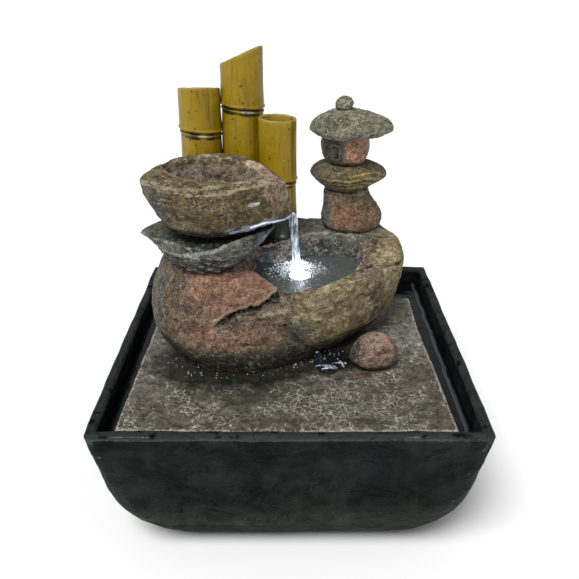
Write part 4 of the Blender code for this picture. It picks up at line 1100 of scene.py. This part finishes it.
def make_pebble():
    """Round red-brown stone in front."""
    node = "front_pebble"

    def carve(points):
        move = 0.0007 * fractal(points, 0.012, 3, 61) + 0.00035 * ridged(points, 0.005, 4, 62)
        return move + 0.0002 * fractal(points, 0.0022, 3, 63)

    def masks(points, normals):
        left = clipped((share_of(node, 0.3, 0, 0).x - points[:, 0]) / 0.006)
        low = below(points, node, 0.3, 0.006)
        return {"olive": np.maximum(left, low), "wet": 0.9 * low}

    colours = ((0.4, 0.25, 0.18), (0.33, 0.225, 0.165), (0.075, 0.052, 0.038), (0.54, 0.46, 0.38))
    zones = (("olive", (0.095, 0.085, 0.055)),)
    paint = stone_paint("pebble_stone", colours, zones, brushing=1.1)
    carved(node, "round_pebble", paint, carve, masks, voxel=0.0007)


def bell(value, middle, width):
    """1 at a middle value, falling away softly on both sides of it."""
    return math.exp(-(((value - middle) / width) ** 2))


def limited(value):
    """Value kept between 0 and 1."""
    return min(1.0, max(0.0, value))


# ---------------------------------------------------------------- bamboo

# Each stalk's node, the height of its ring as a share, and the slope of its cut to the right and back.
STALKS = (
    ("bamboo_left", 0.705, (0.0, -0.16)),
    ("bamboo_centre", 0.69, (0.39, -0.13)),
    ("bamboo_right", 0.497, (-0.05, 0.0)),
)
# Slope of every ring to the right, and how many points go round a stalk.
RING_TILT = -0.1
AROUND = 72


def ring_shape(gap):
    """Extra radius and darkness at a height above a bamboo ring: two lips with a crease between."""
    crease = bell(gap, 0.0, 0.0006)
    extra = 0.00065 * (bell(gap, 0.0015, 0.0008) + bell(gap, -0.0013, 0.0008)) - 0.0007 * crease
    extra += 0.0003 * bell(gap, 0.004, 0.006) if gap > 0.0 else 0.0
    extra -= 0.00045 if gap < 0.0 else 0.0
    dark = crease + 0.9 * bell(gap, -0.0027, 0.0009) + 0.35 * bell(gap, 0.0, 0.0036)
    return extra, min(1.0, dark)


def make_stalk(node, ring_share, slope, seed):
    """Cut bamboo stalk: a ringed tube with a rounded lip, its own wall thickness and a floor inside."""
    low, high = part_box(node)
    axis = (low + high) / 2.0
    radius = (high.x - low.x) / 2.0 - 0.0002
    steepness = math.hypot(*slope)
    top = high.z - radius * steepness
    ring_level = low.z + (high.z - low.z) * ring_share
    ring_zone = 0.008
    wall = 0.0024
    floor = top - radius * steepness - 0.011
    rows = []
    marks = {"ring": [], "cut": [], "foot": [], "shine": []}

    def gap_to_ring(side, height):
        return height - ring_level - radius * RING_TILT * side.x

    def outer(side, height):
        """Radius outside: rough, swollen at the ring and a little thicker under it."""
        place = Vector((side.x * 1.4, side.y * 1.4, height / 0.03 + seed * 3.7))
        lumps = 0.0003 * wobble(place, 3)
        thicker = 0.0009 * limited((ring_level - height) / 0.025)
        return radius - 0.0001 + ring_shape(gap_to_ring(side, height))[0] + (lumps + thicker)

    def ring_dark(side, height):
        worn = 0.72 + 0.9 * noise.noise(Vector((side.x, side.y, seed)) * 2.2)
        return ring_shape(gap_to_ring(side, height))[1] * worn

    def cut_level(side):
        ragged = 0.00025 * wobble(Vector((side.x * 3.0, side.y * 3.0, seed)), 3)
        return top + radius * (slope[0] * side.x + slope[1] * side.y) + ragged

    def add_row(radius_at, height_at, dark_at, cut):
        """Next row of points, with its marks for the paint."""
        row = []
        for angle in turns(AROUND):
            side = Vector((math.cos(angle), math.sin(angle)))
            height = height_at(side)
            reach = radius_at(side, height)
            row.append(Vector((axis.x + side.x * reach, axis.y + side.y * reach, height)))
            marks["ring"].append(dark_at(side, height))
            marks["cut"].append(cut)
            # Painted shade low on the stalk's front side.
            marks["foot"].append(limited((low.z + 0.021 - height) / 0.004) * limited(-3.0 * side.y))
            lit = limited(14.0 * (side.dot(Vector((0.3, -0.95))) - 0.93))
            marks["shine"].append(lit * bell(gap_to_ring(side, height), -0.0012, 0.0007))
        rows.append(row)

    row_gap, ring_row_gap, tail_rows = 0.004, 0.0003, 13
    plain_rows = int((ring_level - ring_zone - low.z) / row_gap) + 1
    heights = [low.z + row_gap * step for step in range(plain_rows)]
    heights += [ring_level + ring_row_gap * step for step in range(-20, 21)]
    for height in heights:
        add_row(outer, lambda side, level=height: level, ring_dark, 0.0)
    tail = ring_level + ring_zone
    for step in range(1, tail_rows):
        share = step / tail_rows
        add_row(
            outer,
            lambda side, part=share: tail + (cut_level(side) - 0.0009 - tail) * part,
            ring_dark,
            0.0,
        )
    outer_lip = ((0.0, 0.0007), (0.00015, 0.0002), (0.0006, 0.0))
    inner_lip = ((0.0016, 0.0), (0.0021, 0.0002), (wall, 0.0008))
    for inset, drop in outer_lip + inner_lip:
        add_row(
            lambda side, level, into=inset: outer(side, level) - into,
            lambda side, down=drop: cut_level(side) - down,
            lambda side, level: 0.0,
            1.0 if 0.0 < inset < wall else 0.5,
        )
    for share in (0.5, 1.0):
        add_row(
            lambda side, level: radius - wall,
            lambda side, part=share: cut_level(side) - 0.001 + (floor - cut_level(side)) * part,
            lambda side, level, part=share: 0.25 * part,
            0.3,
        )
    add_row(lambda side, level: 0.4 * radius, lambda side: floor - 0.0006, lambda side, level: 0.3, 0.3)
    mesh = finished(skinned(rows)[0], node)
    store(mesh, marks)
    return mesh


def make_bamboos():
    """Three stalks behind the upper bowl."""
    paint = bamboo_paint()
    for seed, (node, ring_share, slope) in enumerate(STALKS):
        mesh = make_stalk(node, ring_share, slope, seed)
        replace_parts(new_piece(f"{node}_stalk", mesh, paint, "sculpture"), node)


def skinned(rows):
    """Work mesh of a tube skinned over rows of equal count, and its two end faces."""
    bm = bmesh.new()
    loops = [[bm.verts.new(point) for point in row] for row in rows]
    for lower, upper in zip(loops, loops[1:]):
        for index in range(len(lower)):
            after = (index + 1) % len(lower)
            bm.faces.new((lower[index], lower[after], upper[after], upper[index]))
    return bm, [bm.faces.new(loops[0][::-1]), bm.faces.new(loops[-1])]


# ---------------------------------------------------------------- water

# Turn between one drop and the next that never lines them up.
GOLDEN_ANGLE = 2.399963


def solid_mesh(name, rows):
    """Closed tube over rows of equal count, each end fanned out from its middle."""
    bm, ends = skinned(rows)
    bmesh.ops.poke(bm, faces=ends)
    bmesh.ops.recalc_face_normals(bm, faces=bm.faces)
    return finished(bm, name)


def swept(name, middles, shape, paint, around):
    """Water swept along middle points. The shape gives offsets by share of the way and angle."""
    last = len(middles) - 1
    rows = []
    for step, middle in enumerate(middles):
        rows.append([middle + shape(step / last, angle) for angle in turns(around)])
    new_piece(name, solid_mesh(name, rows), paint, "sculpture")


def make_pool_water():
    """Rippled water that fills the lower pool to just inside the stone around it."""
    tree = skin_of("lower_rock")
    around, rings = 96, 40
    thickness, tuck, fallback = 0.0012, 0.0007, 0.02
    centre = Vector((LANDING.x, LANDING.y, POOL_LEVEL))
    ways = [flat_oval(angle, 1.0, 1.0) for angle in turns(around)]
    reach = []
    for way in ways:
        hit = tree.ray_cast(centre, way)
        reach.append((hit[3] if hit[0] is not None else fallback) + tuck)

    def row_at(ring, under):
        share = (ring + 0.4) / (rings - 0.6)
        row = []
        for way, edge in zip(ways, reach):
            away = edge * share
            place = centre + away * way
            wave = 0.00042 * math.sin(away / 0.00062) * math.exp(-away / 0.011)
            wave += 0.00022 * wobble(place / 0.006, 2)
            place.z += -thickness if under else wave
            row.append(place)
        return row

    rows = [row_at(ring, False) for ring in range(rings)]
    rows += [row_at(ring, True) for ring in reversed(range(rings))]
    paint = water_paint("pool_water", (0.1, 0.112, 0.106), alpha=0.4)
    new_piece("pool_water", solid_mesh("pool_water", rows), paint, "sculpture")


def stream_path(share):
    """Middle of the falling stream: it leaves the spout level and drops to the pool."""
    start = SPOUT + Vector((0.001, 0.0, 0.0))
    way = LANDING - start
    return start + Vector((way.x * math.sqrt(share), way.y * share, way.z * share))


def make_stream():
    """Falling stream, a few twisting strands wide, which breaks up as it lands."""

    def shape(share, angle):
        wide = 0.0022 + 0.0002 * math.sin(9.0 * share) - 0.0002 * share
        thin = 0.0009 + 0.0003 * share
        strands = 1.0 + 0.26 * math.cos(5.0 * angle + 7.0 * share)
        strands += 0.1 * noise.noise(Vector((3.0 * math.cos(angle), share * 14.0, 2.0)))
        return strands * flat_oval(angle, wide, thin)

    # The stream glows faintly: painted light of the lamp below.
    paint = water_paint("falling_water", (0.7, 0.78, 0.95), alpha=0.8, glow=0.25, streaks=0.62)
    swept("water_stream", [stream_path(step / 60) for step in range(61)], shape, paint, around=28)


def clinging_water(name, path, paint, wide, thick):
    """Strip of water that follows a path over the upper bowl's skin, lumpy and pointed at its start."""
    tree = skin_of("upper_bowl")
    steps, around = 60, 16
    rows = []
    for step in range(steps + 1):
        share = step / steps
        place = (len(path) - 1) * share
        first = min(int(place), len(path) - 2)
        skin, outward = tree.find_nearest(path[first].lerp(path[first + 1], place - first))[:2]
        across = outward.cross(path[first + 1] - path[first]).normalized()
        swell = wide * (0.1 + math.sin(math.pi * share**0.55) + 0.2 * share)
        swell *= 1.0 + 0.8 * wobble(Vector((share * 11.0, 0.0, 100.0 * wide)), 3)
        row = []
        for angle in turns(around):
            flat = across * max(0.0001, swell) * math.sin(angle)
            row.append(skin + flat + outward * (0.0006 + thick * math.cos(angle)))
        rows.append(row)
    new_piece(name, solid_mesh(name, rows), paint, "sculpture")


def make_spout_film():
    """Water that clings under the bowl's lip: a faint sheet with a bright thread in it."""
    path = line_on("upper_bowl", WET_UNDERSIDE)
    # Both strips glow: painted light of the lamp's glow caught on the wet underside.
    sheet = water_paint("spout_water", (0.34, 0.4, 0.54), alpha=0.3, glow=0.3, soft=True)
    clinging_water("spout_film", path, sheet, wide=0.0021, thick=0.0006)
    thread = [point + Vector((0.0, 0.0, 0.0004)) for point in path[1:]]
    bright = water_paint("thread_water", (0.75, 0.82, 1.0), alpha=0.75, glow=0.5, soft=True)
    clinging_water("spout_thread", thread, bright, wide=0.00035, thick=0.0006)


def make_spout_curl():
    """Clear curl of water that rolls over the spout's tip into the stream."""
    steps = 28
    middles = []
    for step in range(steps + 1):
        share = step / steps
        turn = 0.5 * math.pi * share
        drop = 0.0026 * math.cos(turn) - 0.0012 * share
        middles.append(SPOUT + Vector((-0.0026 + 0.0036 * math.sin(turn), 0.0004, drop)))

    def shape(share, angle):
        turn = 0.5 * math.pi * share
        size = 0.0005 + 0.0013 * math.sin(math.pi * min(1.0, 0.15 + share))
        across = Vector((math.sin(turn), 0.0, math.cos(turn))) * math.cos(angle)
        return size * (across + Vector((0.0, 1.3 * math.sin(angle), 0.0)))

    paint = water_paint("curl_water", (0.22, 0.25, 0.2), alpha=0.45, glow=0.12)
    swept("spout_curl", middles, shape, paint, around=20)


def scatter(name, places, paint, radius, seed):
    """Many small flattened drops in one mesh."""
    bm = bmesh.new()
    for number, place in enumerate(places):
        size = radius * (0.45 + 0.9 * abs(noise.random_unit_vector(size=3).x))
        made = bmesh.ops.create_icosphere(bm, subdivisions=1, radius=size)
        for vertex in made["verts"]:
            vertex.co.z *= 0.72
            key = vertex.co / size + Vector((number, seed, 0.0))
            vertex.co += 0.15 * size * noise.noise_vector(key)
            vertex.co += place
    new_piece(name, finished(bm, name), paint, "sculpture")


def make_splash():
    """Bright spray where the stream lands: drops thrown over the pool."""
    noise.seed_set(7)
    places = []
    count, reach, height = 1100, 0.0165, 0.0075
    for number in range(count):
        angle = GOLDEN_ANGLE * number
        away = reach * ((number + 1) / count) ** 0.8
        away *= 0.45 + 0.7 * abs(noise.random_unit_vector(size=3).y)
        lift = 0.0001 + height * noise.random_unit_vector(size=3).z ** 2 * max(0.0, 1.0 - away / 0.013)
        places.append(LANDING + flat_oval(angle, 1.1 * away, away) + Vector((0.0, 0.0, lift)))
    # The drops glow brightly: painted light of the lamp below caught in the spray.
    spray = water_paint("spray", (0.8, 0.88, 0.98), alpha=0.85, glow=1.6)
    scatter("splash_drops", places, spray, radius=0.00016, seed=3)


def make_foam():
    """Lit foam where the stream lands, and the glow of the light below, which rides with it."""
    bm = bmesh.new()
    bmesh.ops.create_icosphere(bm, subdivisions=5, radius=0.0046)
    flattening = Vector((1.0, 0.9, 0.16))
    for vertex in bm.verts:
        ripple = 1.0 + 0.1 * wobble(vertex.co / 0.0022, 3)
        vertex.co = vertex.co * flattening * ripple + LANDING
    paint = water_paint("foam", (0.92, 0.96, 1.0), alpha=0.92, glow=2.2)
    foam = new_piece("lit_foam", finished(bm, "lit_foam"), paint, "sculpture")
    glow = bpy.data.lights.new("pool_glow", "POINT")
    glow.energy = 0.022
    glow.color = (0.8, 0.88, 1.0)
    glow.shadow_soft_size = 0.004
    lamp = bpy.data.objects.new("pool_glow", glow)
    lamp.location = (LIGHT.x, LIGHT.y, POOL_LEVEL + 0.004)
    lamp.parent = foam
    bpy.context.scene.collection.objects.link(lamp)


def make_foot_beads():
    """Beads of water that glint where the boulder meets the slab."""
    noise.seed_set(11)
    shore = [share_of("lower_rock", x, y, 0.0) for x, y in SHORE[:6]]
    count = 34
    places = []
    for start, end in zip(shore, shore[1:]):
        for number in range(count):
            place = start.lerp(end, (number + 0.5) / count)
            drift = noise.random_unit_vector(size=3)
            side = Vector((drift.x * 0.005, drift.y * 0.005 - 0.0016, 0.0))
            if noise.noise(place / 0.006) + 0.3 * drift.z > -0.02:
                places.append(Vector((place.x, place.y, SLAB_TOP + 0.0003)) + side)
    paint = water_paint("beads", (0.75, 0.8, 0.85), alpha=0.75, glow=0.25)
    scatter("foot_beads", places, paint, radius=0.00025, seed=5)


def smooth_loop(knots, count):
    """Points of a smooth closed curve through its knots."""
    rim = []
    for step in range(count):
        place = len(knots) * step / count
        first = int(place)
        before, start, end, after = (knots[(first + shift) % len(knots)] for shift in (-1, 0, 1, 2))
        part = place - first
        curve = 2.0 * start + (end - before) * part
        curve += (2.0 * before - 5.0 * start + 4.0 * end - after) * part**2
        curve += (3.0 * start - before - 3.0 * end + after) * part**3
        rim.append(0.5 * curve)
    return rim


def blob_mesh(name, outline, level, height):
    """Low rounded film of water over a smooth outline of flat points."""
    rim = smooth_loop([Vector((*point, 0.0)) for point in outline], 64)
    centre = sum(rim, Vector()) / len(rim)
    rows = [[Vector((*centre.lerp(point, 0.98).xy, level - 0.0006)) for point in rim]]
    for share in (1.0, 0.97, 0.9, 0.78, 0.6, 0.4, 0.2, 0.06):
        row = []
        for point in rim:
            place = centre.lerp(point, share)
            swell = math.sqrt(max(0.0, 1.0 - share**2)) + 0.35 * noise.noise(place / 0.004)
            row.append(Vector((place.x, place.y, level + height * max(0.0, swell))))
        rows.append(row)
    return solid_mesh(name, rows)


def make_drip():
    """Water that runs down the front crack into a small puddle left of the round stone."""
    paint = glass_paint()
    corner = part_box("front_pebble")[0].xy
    steps = ((-20, 14), (-10, 20), (-2, 12), (-7, 4), (-13, -1), (-19, 3))
    outline = [corner + MM * Vector(step) for step in steps]
    puddle = blob_mesh("drip_puddle", outline, level=SLAB_TOP + 0.0002, height=0.0013)
    new_piece("drip_puddle", puddle, paint, "sculpture")
    middle = corner + MM * Vector((-12.5, 6.6))
    leaf = [
        middle + MM * Vector((4.6 * math.cos(turn), 2.4 * math.sin(turn - 0.6)))
        for turn in (0.0, 1.0, 2.0, 3.1, 4.2, 5.3)
    ]
    shine = water_paint("puddle_shine", (0.36, 0.38, 0.44), alpha=0.6, glow=0.18, soft=True)
    gleam = blob_mesh("puddle_shine", leaf, level=SLAB_TOP + 0.0014, height=0.0008)
    new_piece("puddle_shine", gleam, shine, "sculpture")
    tip = share_of("lower_rock", *FRONT_CRACK[-1])
    start = tip + Vector((0.0, -0.0035, 0.002))
    way = Vector((0.003, -0.0035, SLAB_TOP - start.z))

    def shape(share, angle):
        wide = 0.0016 + 0.0022 * share**2
        wave = 1.0 + 0.2 * math.cos(3.0 * angle + 6.0 * share)
        return wave * flat_oval(angle, wide, 0.0009)

    swept("drip_strand", [start + way * (step / 20.0) for step in range(21)], shape, paint, around=20)


# ---------------------------------------------------------------- pieces kept from the CAD


def paint_node(node, material):
    """Give a CAD node that stays its finished material."""
    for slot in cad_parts[node].material_slots:
        slot.material = material


def paint_fittings():
    """Materials of the pump, the light and the feet."""
    black = plastic_paint("black_plastic", (0.02, 0.02, 0.022))
    grey = plastic_paint("grey_plastic", (0.12, 0.12, 0.125))
    white = plastic_paint("white_plastic", (0.7, 0.7, 0.68), 0.35)
    rubber = rubber_paint("black_rubber")
    finishes = {
        black: (
            "pump_motor_housing",
            "pump_volute",
            "intake_cover",
            "cord_gland",
            "hose_nozzle",
            "light_body",
            "light_lead",
            "light_lead_gland",
        ),
        grey: ("flow_dial", "motor_back_plate", "pump_bush_front", "pump_bush_rear", "light_clamp_ring"),
        white: ("pump_impeller",),
        rubber: (
            "light_seal",
            *(f"suction_cup_{number}" for number in range(1, 5)),
            *(f"foot_{end}_{side}" for end in ("front", "back") for side in ("left", "right")),
        ),
        plastic_paint("magnet_grey", (0.085, 0.08, 0.08), 0.55): ("pump_rotor",),
        plastic_paint("shaft_ceramic", (0.78, 0.76, 0.7), 0.22): ("pump_shaft",),
        metal_paint("core_steel", (0.42, 0.42, 0.43), 0.42, (1.0, 0.05, 1.0)): ("motor_core",),
        metal_paint("coil_copper", (0.62, 0.28, 0.13), 0.34, (0.05, 1.0, 0.05)): ("motor_coil",),
        board_paint(): ("light_board",),
        hose_paint(): ("riser_hose",),
        lens_paint(): ("light_lens",),
    }
    for material, nodes in finishes.items():
        for node in nodes:
            paint_node(node, material)


# ---------------------------------------------------------------- stage

# The surroundings light the object at this strength, and show as full white behind it.
SURROUND_LIGHT = 0.45
KEY_PLACE = Vector((-0.3, -0.55, 1.00))
# Camera worked out from the four corners of the square rim.
CAMERA_PLACE = (0.0, -0.38307, 0.30503)
CAMERA_TILT = math.radians(63.98)
CAMERA_LENS = 42.87
CAMERA_SENSOR = 36.0


def make_stage():
    """Plain pale floor."""
    size = 15.0
    corners = [(-size, -size, 0.0), (size, -size, 0.0), (size, size, 0.0), (-size, size, 0.0)]
    mesh = bpy.data.meshes.new("floor")
    mesh.from_pydata(corners, [], [(0, 1, 2, 3)])
    floor = bpy.data.objects.new("floor", mesh)
    bpy.context.scene.collection.objects.link(floor)
    paint = Paint("floor_white", roughness=0.9)
    paint.colour = paint.mix(paint.noise(0.4, 2.0), (0.9, 0.9, 0.9), (0.92, 0.92, 0.92))
    mesh.materials.append(paint.finish())


def make_lights():
    """White surroundings, softer as a light than as a backdrop, and a broad sun for the key light."""
    world = bpy.data.worlds.new("studio")
    world.use_nodes = True
    nodes, links = world.node_tree.nodes, world.node_tree.links
    seen = nodes.new("ShaderNodeMath")
    seen.operation = "MULTIPLY_ADD"
    seen.inputs[1].default_value = 1.0 - SURROUND_LIGHT
    seen.inputs[2].default_value = SURROUND_LIGHT
    links.new(nodes.new("ShaderNodeLightPath").outputs["Is Camera Ray"], seen.inputs[0])
    links.new(seen.outputs[0], nodes["Background"].inputs["Strength"])
    nodes["Background"].inputs["Color"].default_value = (1.0, 1.0, 1.0, 1.0)
    bpy.context.scene.world = world
    key = bpy.data.lights.new("key", "SUN")
    key.energy = 2.9
    key.angle = math.radians(28.0)
    lamp = bpy.data.objects.new("key", key)
    lamp.location = KEY_PLACE
    lamp.rotation_euler = KEY_PLACE.to_track_quat("Z", "Y").to_euler()
    bpy.context.scene.collection.objects.link(lamp)


def make_camera():
    """Camera at eye height in front, looking down at the fountain."""
    data = bpy.data.cameras.new("camera")
    data.sensor_width = CAMERA_SENSOR
    data.lens = CAMERA_LENS
    camera = bpy.data.objects.new("camera", data)
    camera.location = CAMERA_PLACE
    camera.rotation_euler = Euler((CAMERA_TILT, 0.0, 0.0))
    bpy.context.scene.collection.objects.link(camera)
    bpy.context.scene.camera = camera
    bpy.context.scene.view_settings.view_transform = "Standard"


make_camera()
make_lights()
make_stage()
make_basin()
make_basin_water()
make_slab()
make_lower_rock()
make_middle_rock()
make_upper_bowl()
make_lantern()
make_window_back()
make_pebble()
make_bamboos()
make_pool_water()
make_stream()
make_spout_film()
make_spout_curl()
make_splash()
make_foam()
make_foot_beads()
make_drip()
paint_fittings()
